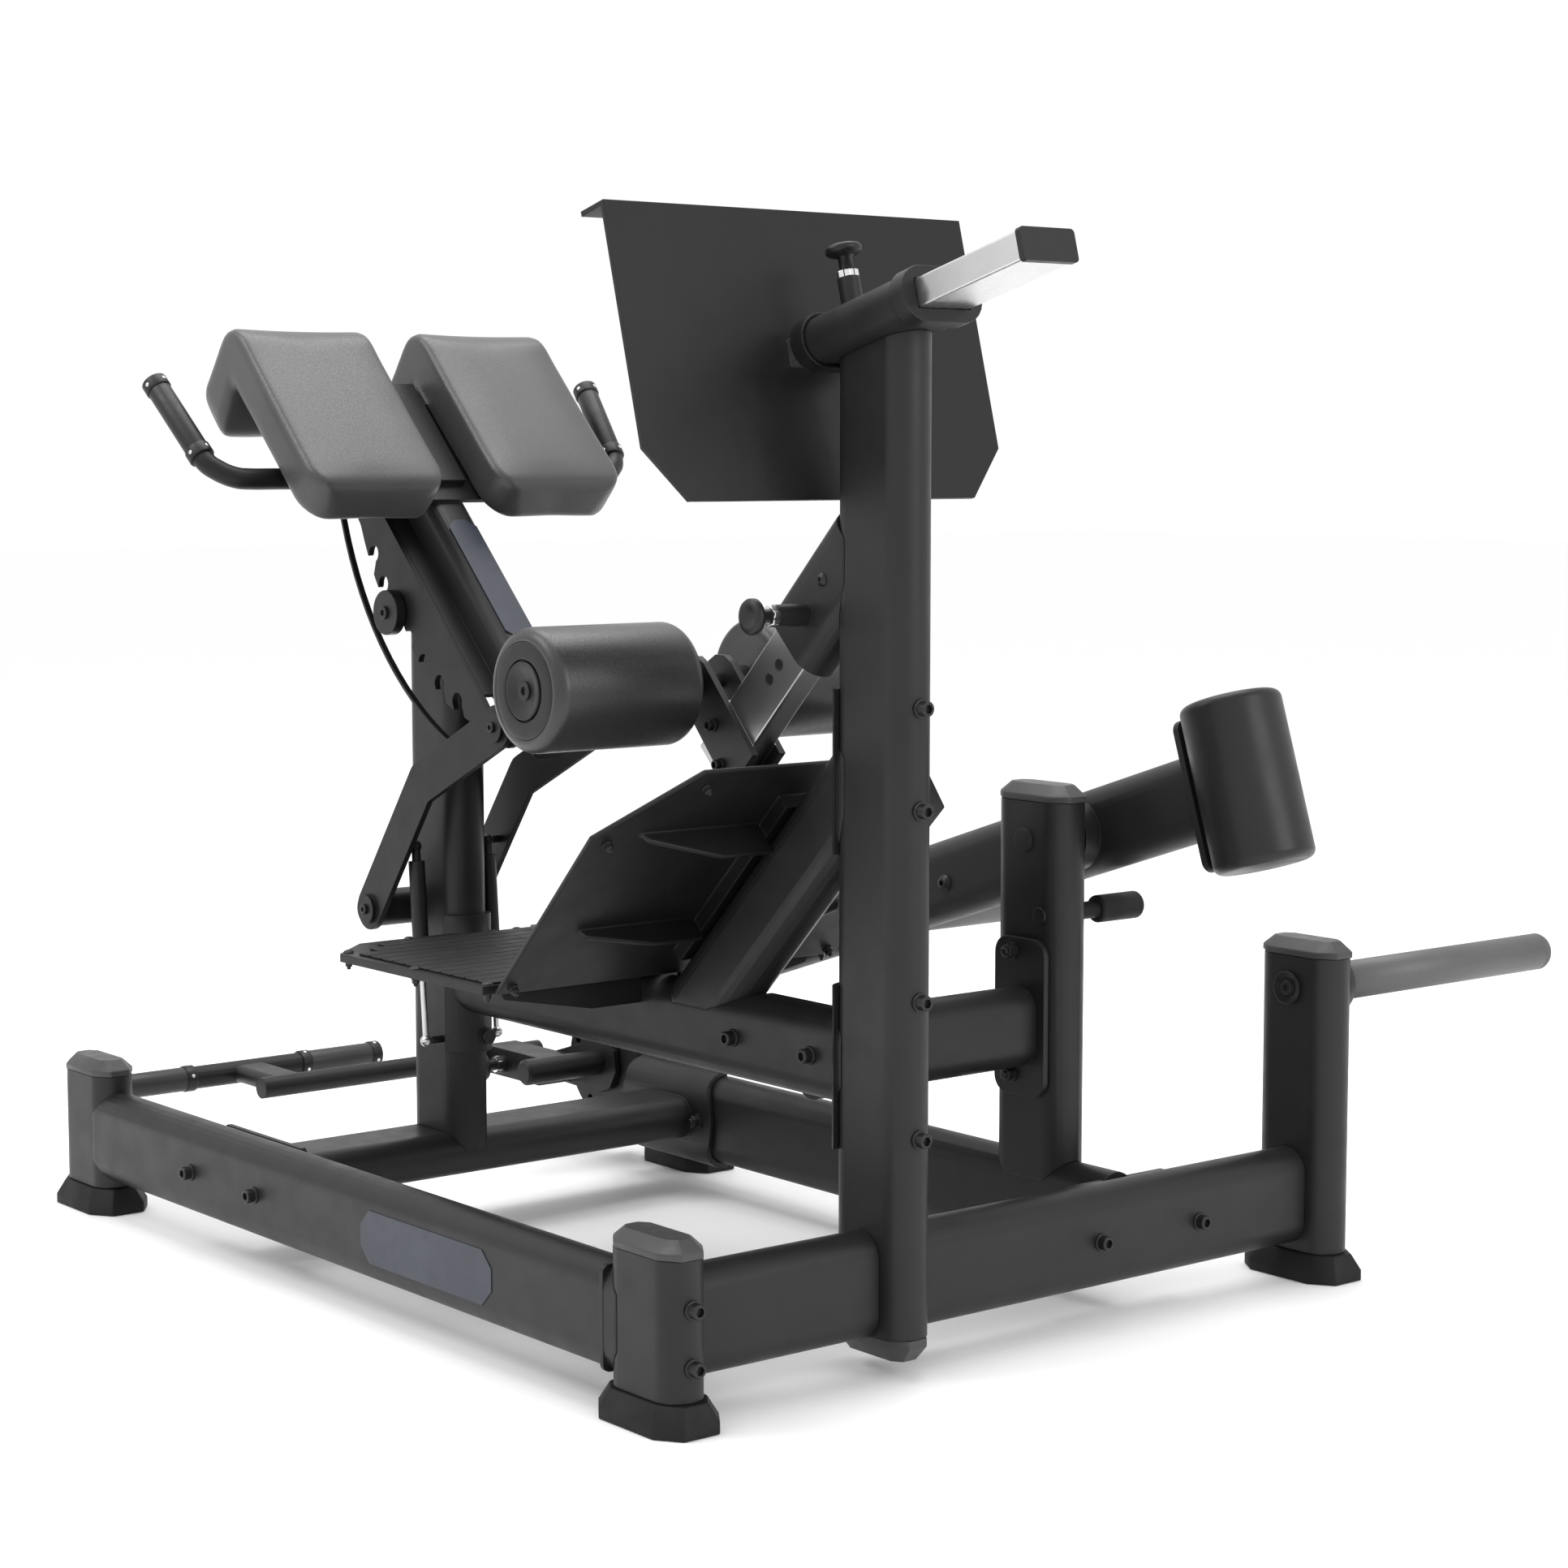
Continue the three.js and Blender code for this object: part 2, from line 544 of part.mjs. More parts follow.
function ankleTube() {
  const shell = alongY(oval(BEAM.deep, BEAM.wide), -650, ANKLE.end).translate(0, 0, ANKLE.t);
  const w = ANKLE.wide / 2 + 1;
  const d = ANKLE.deep / 2 + 1;
  const hollow = box(-w, w, -700, -400, ANKLE.t - d, ANKLE.t + d);
  const post = postTube(400, 1300, 2 * GAP).rotateX(45 * DEG);
  const housing = pinHousing(BEAM.wide / 2, 46).rotateY(-90 * DEG).translate(0, ANKLE_PIN.s, ANKLE_PIN.t);
  const bore = pinBore(0, 100).rotateY(-90 * DEG).translate(0, ANKLE_PIN.s, ANKLE_PIN.t);
  return cut(join(shell, housing), hollow, post, bore);
}

// Slide bar with the fork that carries the roller axle.
function ankleSlide() {
  const bar = alongY(roundRect(ANKLE.deep, ANKLE.wide, 3), ANKLE.top, ANKLE.foot).translate(0, 0, ANKLE.t);
  const cheek = new THREE.Shape();
  cheek.moveTo(-345, 640);
  cheek.lineTo(-280, 640);
  cheek.lineTo(ROLLER.s + 32, ROLLER.t);
  cheek.absarc(ROLLER.s, ROLLER.t, 32, 0, 180 * DEG);
  const cheeks = [-25, 16].map((x) => alongX(cheek, x, x + 9));
  const axle = rodX(10, -266, 266).translate(0, ROLLER.s, ROLLER.t);
  const hubs = [-56, 20].map((x) => rodX(17, x, x + 36).translate(0, ROLLER.s, ROLLER.t));
  const block = box(-20, 20, -302, -272, 640, 656);
  return join(bar, ...cheeks, axle, ...hubs, block);
}

// Foam roller with rounded shoulders, a recessed end face and a through bore.
function roller(side) {
  const r = ROLLER.radius;
  const end = ROLLER.outer;
  const profile = [[ROLLER.inner, 10.6], [end - 6, 10.6], [end - 6, 56], [end, 58]];
  const corner = 13;
  for (let i = 0; i <= 4; i += 1) {
    const angle = i * 22.5 * DEG;
    profile.push([end - corner + corner * Math.cos(angle), r - corner + corner * Math.sin(angle)]);
  }
  for (let i = 0; i <= 4; i += 1) {
    const angle = (90 + i * 22.5) * DEG;
    profile.push([ROLLER.inner + corner + corner * Math.cos(angle), r - corner + corner * Math.sin(angle)]);
  }
  profile.push([ROLLER.inner, 10.6]);
  return turnedX(profile.reverse(), 24).rotateZ(side > 0 ? 0 : 180 * DEG);
}

function ankleHold() {
  piece(slope, 'ankle_tube', ankleTube(), FRAME_PAINT);
  piece(slope, 'ankle_slide', ankleSlide(), BRUSHED_STEEL);
  piece(slope, 'roller_left', roller(-1), UPHOLSTERY, 0, ROLLER.s, ROLLER.t);
  piece(slope, 'roller_right', roller(1), UPHOLSTERY, 0, ROLLER.s, ROLLER.t);
  const pin = pullPin(ANKLE.wide / 2 + 0.5, 85, 100).rotateY(-90 * DEG);
  piece(slope, 'ankle_pull_pin', pin, BLACK_PLASTIC, 0, ANKLE_PIN.s, ANKLE_PIN.t);
}

// ---- pad arms --------------------------------------------------------------------------------------

// A flat strip with round ends between two points of the YZ plane.
function strip(a, b, radius, start, end) {
  const length = Math.hypot(b.y - a.y, b.z - a.z);
  const angle = Math.atan2(b.z - a.z, b.y - a.y);
  const flat = alongX(oval(length + 2 * radius, 2 * radius), start, end);
  return flat.rotateX(angle).translate(0, (a.y + b.y) / 2, (a.z + b.z) / 2);
}

// Bent arm from the pivot tube to the pad frame, with end caps and the stud of the gas spring.
function padArm(side) {
  const lower = strip(ARM_PIVOT, ARM_ELBOW, 28.5, ARM_INNER, ARM_OUTER);
  const upper = strip(ARM_ELBOW, PAD_PIVOT, 28.5, ARM_INNER, ARM_OUTER);
  const cap = rodX(20, ARM_OUTER - 2, ARM_OUTER + 6);
  const caps = [ARM_PIVOT, PAD_PIVOT].map(({ y, z }) => cap.clone().translate(0, y, z));
  const stud = rodX(5, SPRING.x + 8.5, ARM_INNER + 2, 12).translate(0, SPRING.highY, SPRING.highZ);
  const arm = join(lower, upper, ...caps, stud);
  return side > 0 ? arm : mirrored(arm);
}

function mirrored(geometry) {
  const copy = geometry.clone().scale(-1, 1, 1);
  const corners = copy.index.array;
  for (let i = 0; i < corners.length; i += 3) {
    const first = corners[i];
    corners[i] = corners[i + 1];
    corners[i + 1] = first;
  }
  copy.computeVertexNormals();
  return copy;
}

// Cross pin in the head of the pad post, with a thrust disc outside each rack plate.
function lockPin() {
  const discs = [-ARM_OUTER, RACK.outer + 1.5].map((x) => rodX(30, x, x + ARM_OUTER - RACK.outer - 1.5, 28));
  return join(rodX(LOCK_PIN.radius, -75, 75), ...discs);
}

function padArms() {
  piece(base, 'pad_arm_left', padArm(-1), PLATE_PAINT);
  piece(base, 'pad_arm_right', padArm(1), PLATE_PAINT);
  piece(base, 'lock_pin', lockPin(), BLACK_PLASTIC, 0, LOCK_PIN.y, LOCK_PIN.z);
}

// ---- pad frame -------------------------------------------------------------------------------------

const HANDLE_BAR = { y: 423.6, z: 20.5, radius: 14 };

// Tube under the pads, its cross shaft at the pivot, the pad bed, the plate between the pads and the web
// that joins the rack plates to the tube.
function padTube() {
  const tube = alongY(roundRect(70, 64, 20), -30, 520);
  const shaft = rodX(18, -(ARM_INNER - 0.5), ARM_INNER - 0.5);
  const bed = box(-195, 195, 364, 545, 34, 40.5);
  const centre = box(-33, 33, 391, 575, 40, 50);
  const web = box(GAP - RACK.inner, RACK.inner - GAP, 70, 492, -24, -18);
  const bore = rodX(HANDLE_BAR.radius + 2 * GAP, -200, 200).translate(0, HANDLE_BAR.y, HANDLE_BAR.z);
  return cut(join(tube, shaft, bed, centre, web), bore);
}

// Side view of a hip pad: a thick front face that folds over a ridge into a rear flap.
function padOutline() {
  const shape = new THREE.Shape();
  shape.moveTo(333, 41.7);
  shape.quadraticCurveTo(321, 41.7, 322, 54);
  shape.lineTo(328, 86);
  shape.quadraticCurveTo(331, 101, 347, 101);
  shape.lineTo(590, 102);
  shape.quadraticCurveTo(644, 103, 641, 58);
  shape.lineTo(625, -22);
  shape.quadraticCurveTo(618, -50, 596, -50);
  shape.lineTo(566, -41);
  shape.quadraticCurveTo(556, -36, 560, -20);
  shape.lineTo(583, 41.7);
  return shape;
}

function hipPad(side) {
  const pad = alongX(padOutline(), 36, 248);
  return side > 0 ? pad : mirrored(toGeometry(toSolid(pad)));
}

// The handle's path in the machine's axes, measured from the pad pivot and turned into the pad frame.
function handleBar() {
  const half = [[60, 947, 1017], [130, 947, 1017], [200, 947, 1017], [270, 947, 1017], [292, 950, 1020],
    [312, 958, 1028], [326, 973, 1044], [332, 1004, 1077], [344, 1067, 1143]];
  const places = [...half.map(([x, y, z]) => [-x, y, z]).reverse(), [0, 947, 1017], ...half];
  const points = places.map(([x, y, z]) => new THREE.Vector3(x, y - PAD_PIVOT.y, z - PAD_PIVOT.z)
    .applyAxisAngle(new THREE.Vector3(1, 0, 0), -45 * DEG));
  const path = new THREE.CatmullRomCurve3(points, false, 'centripetal');
  const section = new THREE.Shape();
  section.absarc(0, 0, HANDLE_BAR.radius, 0, 360 * DEG);
  return new THREE.ExtrudeGeometry(section, { extrudePath: path, steps: 36, curveSegments: 4 });
}

// Centre of the arc that the rack teeth lie on: the arm pivot as seen from the lock pin.
function rackArc() {
  const y = LOCK_PIN.y - ARM_PIVOT.y;
  const z = LOCK_PIN.z - ARM_PIVOT.z;
  const radius = Math.hypot(PAD_PIVOT.y - ARM_PIVOT.y, PAD_PIVOT.z - ARM_PIVOT.z);
  const centre = { y: (y + z) * Math.SQRT1_2, z: (z - y) * Math.SQRT1_2 };
  const pinY = (LOCK_PIN.y - PAD_PIVOT.y + LOCK_PIN.z - PAD_PIVOT.z) * Math.SQRT1_2;
  const pinZ = (LOCK_PIN.z - PAD_PIVOT.z - LOCK_PIN.y + PAD_PIVOT.y) * Math.SQRT1_2;
  return { centre, radius, angle: Math.atan2(pinY - centre.y, centre.z - pinZ) };
}

// Where the lock pin stands in the pad frame when the arms are raised by a share of their travel.
function pinPlace(share) {
  const start = new THREE.Vector2(PAD_PIVOT.y - ARM_PIVOT.y, PAD_PIVOT.z - ARM_PIVOT.z);
  start.rotateAround(new THREE.Vector2(0, 0), -LIFT * share);
  const pin = new THREE.Vector2(LOCK_PIN.y - ARM_PIVOT.y - start.x, LOCK_PIN.z - ARM_PIVOT.z - start.y);
  return pin.rotateAround(new THREE.Vector2(0, 0), -45 * DEG - TILT * share);
}

// The space that the lock pin passes through as the arms rise.
function pinSweep() {
  const steps = 7;
  const radius = LOCK_PIN.radius + 1.6;
  const places = [];
  for (let i = 0; i <= steps; i += 1) {
    const place = pinPlace(i / steps);
    places.push({ y: place.x, z: place.y });
  }
  return places.slice(1).map((place, i) => strip(places[i], place, radius, RACK.inner - 2, RACK.outer + 2));
}

// Toothed plate with hooked notches for the lock pin and a thin guard that keeps the pin beside the teeth.
function rackPlate(side) {
  const arc = rackArc();
  const at = (radius, degrees) => {
    const angle = degrees * DEG;
    return [arc.centre.y + radius * Math.sin(angle), arc.centre.z - radius * Math.cos(angle)];
  };
  const sweep = (radius, from, to) => {
    const points = [];
    for (let i = 0; i <= 16; i += 1) {
      points.push(at(radius, from + (to - from) * i / 16));
    }
    return points;
  };
  const flat = (points, spare = 0) => {
    const outline = polygon([...points].reverse());
    return alongX(outline, RACK.inner - spare, RACK.outer + spare);
  };
  const { upper, lower, guardUpper, guardLower } = RACK_ANGLES;
  const plate = flat([[-14, -22], [60, -17.7], [492, -17.7], [492, -60], ...sweep(RACK.tip, upper, lower)]);
  const hub = rodX(28, RACK.inner, RACK.outer);
  const tab = box(RACK.inner, RACK.outer, 448, 490, -30, 33.5);
  const guard = flat([...sweep(RACK.guard + 4, guardUpper, guardLower),
    ...sweep(RACK.guard, guardLower, guardUpper)]);
  const rim = RACK.guard + 2;
  const topTie = flat([at(rim, guardUpper), [492, -30], [480, -30], at(rim, guardUpper - 1.4)]);
  const lowTie = flat([at(rim, guardLower), [20, -20], [40, -20], at(rim, guardLower + 1.4)]);
  const bore = LOCK_PIN.radius + 2.6;
  const wide = bore / arc.radius / DEG;
  const notches = [];
  for (let k = RACK.first; k <= RACK.last; k += 1) {
    const angle = arc.angle / DEG - RACK.pitch * k;
    const lean = angle - 1.5;
    notches.push(rodX(bore, RACK.inner - 2, RACK.outer + 2, 16).translate(0, ...at(arc.radius, angle)));
    notches.push(flat([at(arc.radius, angle + wide), at(arc.radius, angle - wide),
      at(RACK.tip + 6, lean - 1.6 * wide), at(RACK.tip + 6, lean + 0.9 * wide)], 2));
  }
  const shaft = rodX(18 + GAP, RACK.inner - 10, RACK.outer + 10);
  const rack = cut(join(plate, hub, tab, guard, topTie, lowTie), shaft, ...notches, ...pinSweep());
  return side > 0 ? rack : mirrored(rack);
}

function padSupport() {
  piece(padFrame, 'pad_tube', padTube(), FRAME_PAINT);
  piece(padFrame, 'handle_bar', handleBar(), FRAME_PAINT);
  for (const [place, side] of [['left', -1], ['right', 1]]) {
    piece(padFrame, `hip_pad_${place}`, hipPad(side), UPHOLSTERY);
    piece(padFrame, `rack_plate_${place}`, rackPlate(side), PLATE_PAINT);
  }
}

// ---- gas springs -----------------------------------------------------------------------------------

function gasSprings() {
  const length = Math.hypot(SPRING.highY - SPRING.lowY, SPRING.highZ - SPRING.lowZ);
  const lean = Math.atan2(SPRING.highY - SPRING.lowY, SPRING.highZ - SPRING.lowZ);
  const ball = new THREE.SphereGeometry(8, 12, 8);
  const rod = join(ball, rodZ(4, 0, 212, 16));
  const body = rodZ(SPRING.radius, 82, 243);
  const neck = rodZ(6, 240, length - 4, 16);
  const topBall = ball.clone().translate(0, 0, length);
  const cylinder = cut(join(body, neck, topBall), rodZ(4.6, 70, 228, 16));
  for (const [place, side] of [['left', -1], ['right', 1]]) {
    const mount = frame(side * SPRING.x, SPRING.lowY, SPRING.lowZ, -lean);
    piece(mount, `gas_spring_rod_${place}`, rod, BRUSHED_STEEL);
    piece(mount, `gas_spring_cylinder_${place}`, cylinder, BLACK_PLASTIC);
  }
}

// ---- weight horns ----------------------------------------------------------------------------------

// Plate sleeve along +X on a round flange, with a rounded end.
function weightHorn(length) {
  return turnedX([[0, 0], [0, 40], [18, 40], [20, 38], [20, HORN_RADIUS], [length - 6, HORN_RADIUS],
    [length, HORN_RADIUS - 6], [length, 0]], 28);
}

// ---- resistance lever ------------------------------------------------------------------------------

function leverArm() {
  const tube = alongY(oval(BEAM.deep, BEAM.wide), LEVER.rear, LEVER.front);
  const plate = alongY(roundRect(190, 64, 14), LEVER.rear - PLATE, LEVER.rear + 1);
  const bush = rodX(45, -55, -28, 28);
  return join(tube, plate, bush);
}

function counterweight() {
  const r = COUNTERWEIGHT.radius;
  const h = COUNTERWEIGHT.length / 2;
  const profile = [[-h, 0], [-h, r - 12], [-h + 4, r - 4], [-h + 12, r], [h - 12, r], [h - 4, r - 4],
    [h, r - 12], [h, 0]];
  return turnedX(profile).rotateY(-90 * DEG);
}

// Flat bar that hangs from the lever's far end and carries the index drum.
function dropBar() {
  const d = DROP_BAR;
  return box(d.inner, d.outer, d.y - d.half, d.y + d.half, d.bottom, d.top);
}

function bumper() {
  const start = LEVER_POST.x + POST.wide / 2 + GAP;
  return turnedX([[start, 0], [start, 11], [469, 11], [469, 15], [472, 17.5], [539, 17.5], [542, 15],
    [542, 11], [546, 11], [546, 0]], 24);
}

function indexDrum() {
  const holes = [];
  for (let i = 0; i < 9; i += 1) {
    const angle = (20 + i * 40) * DEG;
    holes.push(rodX(6, DRUM.inner - 1, DRUM.inner + 14, 12)
      .translate(0, 70 * Math.cos(angle), 70 * Math.sin(angle)));
  }
  return cut(rodX(DRUM.radius, DRUM.inner, DRUM.outer, 40), ...holes);
}

// Cheek plate, arm, stub peg, cross bar, link and hand bar of the T-shaped pull lever.
function tLever() {
  const cheek = new THREE.Shape();
  cheek.moveTo(0, -46);
  cheek.lineTo(110, -42);
  cheek.lineTo(110, 2);
  cheek.lineTo(40, 24);
  cheek.absarc(0, 0, 46, 32 * DEG, 270 * DEG);
  const plate = alongX(cheek, 393, 402);
  const arm = alongX(roundRect(157, 42, 6), 337, 394).translate(0, T_BAR.y - DRUM.y - 78.5, T_BAR.z - DRUM.z);
  const peg = turnedX([[259, 0], [259, 15], [263, 19], [394, 19], [394, 0]], 24);
  const reach = T_BAR.y - DRUM.y;
  const gripReach = T_GRIP.y - DRUM.y;
  const lift = T_BAR.z - DRUM.z;
  const bar = rodX(T_BAR.radius, T_BAR.left, T_BAR.right, 20).translate(0, reach, lift);
  const link = alongY(oval(26, 60), reach, gripReach).translate(0, 0, lift);
  const grip = rodX(T_GRIP.radius, -T_GRIP.half, T_GRIP.half, 20).translate(0, gripReach, lift);
  const boss = rodX(13, 320, 340).translate(0, 167, -20);
  const bore = rodX(5, 300, 352, 16).translate(0, 167, -20);
  return cut(join(plate, arm, peg, bar, link, grip, boss), bore);
}

function resistanceLever() {
  piece(lever, 'lever_arm', leverArm(), FRAME_PAINT);
  piece(lever, 'counterweight', counterweight(), RUBBER, 0, COUNTERWEIGHT.y - 0.2, 0);
  const half = BEAM.wide / 2 + GAP;
  piece(lever, 'lever_weight_horn', weightHorn(LEVER_HORN.length), HORN_STEEL, half, LEVER_HORN.y);
  piece(base, 'drop_bar', dropBar(), PLATE_PAINT);
  piece(base, 'lever_bumper', bumper(), RUBBER, 0, BUMPER.y, BUMPER.z);
  piece(base, 'index_drum', indexDrum(), PLATE_PAINT, 0, DRUM.y, DRUM.z);
  piece(base, 't_lever', tLever(), PLATE_PAINT, 0, DRUM.y, DRUM.z);
  const pin = pullPin(-348.5, -319, -304).rotateY(-90 * DEG);
  piece(base, 't_pull_pin', pin, BLACK_PLASTIC, 0, DRUM.y + 167, DRUM.z - 20);
  const face = RIGHT_POST_X + POST.wide / 2 + GAP;
  piece(base, 'storage_horn', weightHorn(STORAGE_HORN.length + 24), HORN_STEEL, face, 0, STORAGE_HORN.z);
}

// ---- assembly --------------------------------------------------------------------------------------

cornerPosts();
postCaps();
rails();
uprightsAndBeams();
footPlates();
upperSlide();
ankleHold();
padArms();
padSupport();
gasSprings();
resistanceLever();

export default machine;
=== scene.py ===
import json
import math

import bmesh
import bpy
import numpy as np
from mathutils import Matrix, Vector


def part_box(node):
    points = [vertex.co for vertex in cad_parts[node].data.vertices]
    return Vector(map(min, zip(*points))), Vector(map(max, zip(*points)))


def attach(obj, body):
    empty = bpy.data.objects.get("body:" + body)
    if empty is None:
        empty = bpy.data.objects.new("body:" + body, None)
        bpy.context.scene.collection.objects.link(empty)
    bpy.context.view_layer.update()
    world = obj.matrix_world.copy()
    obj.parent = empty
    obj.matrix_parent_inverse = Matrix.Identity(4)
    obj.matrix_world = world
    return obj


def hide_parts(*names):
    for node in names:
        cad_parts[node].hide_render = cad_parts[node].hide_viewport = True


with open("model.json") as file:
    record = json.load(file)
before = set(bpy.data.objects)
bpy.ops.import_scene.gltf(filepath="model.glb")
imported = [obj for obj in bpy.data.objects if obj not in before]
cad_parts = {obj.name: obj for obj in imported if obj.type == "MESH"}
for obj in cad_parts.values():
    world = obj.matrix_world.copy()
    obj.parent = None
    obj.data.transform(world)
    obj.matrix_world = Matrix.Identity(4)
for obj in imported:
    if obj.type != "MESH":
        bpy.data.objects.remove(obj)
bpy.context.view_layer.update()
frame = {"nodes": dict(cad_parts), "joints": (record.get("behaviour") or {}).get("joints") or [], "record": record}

# ---- axes ------------------------------------------------------------------------------------------
# The machine's own axes start at the foot of the tall upright: X across, Y towards the hip pads, in
# millimetres.  Tilted sub-assemblies have axes of their own, turned about X.

MM = 0.001
SLOPE_TILT = -45     # the brace, the ankle tube and the sloped foot plate
HEAD_TILT = -15      # the tube on top of the upright and its slide
HEAD_HEIGHT = 1197.0
PAD_TILT = 45
LEVER_TILT = -18

JOINTS = {joint["name"]: joint for joint in frame["joints"]}
UPRIGHT_LOW, UPRIGHT_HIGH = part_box("upright")
ORIGIN = Vector(((UPRIGHT_LOW.x + UPRIGHT_HIGH.x) / 2, (UPRIGHT_LOW.y + UPRIGHT_HIGH.y) / 2, 0.0))
MACHINE = Matrix.Translation(ORIGIN)


def tilted(origin, degrees):
    """Axes at a point of the part's frame, turned about X."""
    return Matrix.Translation(origin) @ Matrix.Rotation(math.radians(degrees), 4, "X")


def joint_place(name):
    """Place of a joint in the part's frame."""
    return Vector(JOINTS[name]["pos_m"])


SLOPE = tilted(ORIGIN, SLOPE_TILT)
HEAD = tilted(ORIGIN + Vector((0, 0, HEAD_HEIGHT * MM)), HEAD_TILT)
PAD = tilted(joint_place("pad_tilt"), PAD_TILT)
LEVER = tilted(joint_place("lever_swing"), LEVER_TILT)
DRUM = Matrix.Translation(Vector((ORIGIN.x, *joint_place("pull_lever_swing")[1:])))

# Ways that a screw or a pin can face.
LEFT = (-1, 0, 0)
RIGHT = (1, 0, 0)
FRONT = (0, -1, 0)
UP = (0, 0, 1)
DOWN = (0, 0, -1)
SIDES = (("left", -1, LEFT), ("right", 1, RIGHT))
TO_X = Matrix.Rotation(math.pi / 2, 4, "Y")    # turns axes so that their Z runs along X
QUARTER_TURN = Matrix.Rotation(math.pi / 2, 4, "Z")


# ---- meshes ----------------------------------------------------------------------------------------

def spot(axes, x, y, z):
    """A point given in millimetres in some axes, as metres in the part's frame."""
    return axes @ Vector((x * MM, y * MM, z * MM))


def link(name, bm, smooth=True):
    """A new object from a bmesh whose points are already in the part's frame."""
    bmesh.ops.recalc_face_normals(bm, faces=bm.faces)
    mesh = bpy.data.meshes.new(name)
    bm.to_mesh(mesh)
    bm.free()
    for face in mesh.polygons:
        face.use_smooth = smooth
    obj = bpy.data.objects.new(name, mesh)
    bpy.context.scene.collection.objects.link(obj)
    return obj


def hexagon(radius, angle):
    """Distance from the centre to a hexagon's side at an angle, with corners at the given radius."""
    sector = math.radians(60)
    return radius * math.cos(sector / 2) / math.cos(angle % sector - sector / 2)


def turned(bm, rings, axes, sides=32):
    """Adds a closed body of rings about the axes' Z.

    A ring is (height, radius), or (height, radius, "hex") for a hexagon with corners at that radius.
    """
    loops = []
    for ring in rings:
        height, radius = ring[:2]
        loop = []
        for i in range(sides):
            angle = 2 * math.pi * i / sides
            reach = hexagon(radius, angle) if len(ring) == 3 else radius
            loop.append(bm.verts.new(spot(axes, reach * math.cos(angle), reach * math.sin(angle), height)))
        loops.append(loop)
    for lower, upper in zip(loops, loops[1:]):
        for i in range(sides):
            j = (i + 1) % sides
            bm.faces.new((lower[i], lower[j], upper[j], upper[i]))
    bm.faces.new(list(reversed(loops[0])))
    bm.faces.new(loops[-1])


def prism(bm, outline, low, high, axes):
    """Adds a prism: outline points in the axes' X and Y, from one Z to another."""
    bottom = [bm.verts.new(spot(axes, x, y, low)) for x, y in outline]
    top = [bm.verts.new(spot(axes, x, y, high)) for x, y in outline]
    count = len(outline)
    for i in range(count):
        j = (i + 1) % count
        bm.faces.new((bottom[i], bottom[j], top[j], top[i]))
    bm.faces.new(list(reversed(bottom)))
    bm.faces.new(top)


def facing(axes, x, y, z, direction):
    """Axes at a point whose Z runs along a direction of the given axes."""
    turn = Vector((0, 0, 1)).rotation_difference(Vector(direction)).to_matrix().to_4x4()
    return axes @ Matrix.Translation(Vector((x, y, z)) * MM) @ turn


def rounded(profile_radius, low, high, corner, steps=5):
    """Rings of a cylinder from low to high with both rims rounded."""
    core = profile_radius - corner
    quarter = [math.radians(90 * i / steps) for i in range(steps + 1)]
    bottom = [(low + corner - corner * math.cos(angle), core + corner * math.sin(angle)) for angle in quarter]
    top = [(high - corner + corner * math.sin(angle), core + corner * math.cos(angle)) for angle in quarter]
    return bottom + top


def bevelled(obj, width, segments=2, angle=35):
    """Rounds an object's sharp edges and evens out its shading."""
    weld = obj.modifiers.new("weld", "WELD")
    weld.merge_threshold = 1e-5
    bevel = obj.modifiers.new("edges", "BEVEL")
    bevel.width = width * MM
    bevel.segments = segments
    bevel.limit_method = "ANGLE"
    bevel.angle_limit = math.radians(angle)
    bevel.use_clamp_overlap = True
    normals = obj.modifiers.new("normals", "WEIGHTED_NORMAL")
    normals.weight = 80
    return obj


# ---- materials -------------------------------------------------------------------------------------

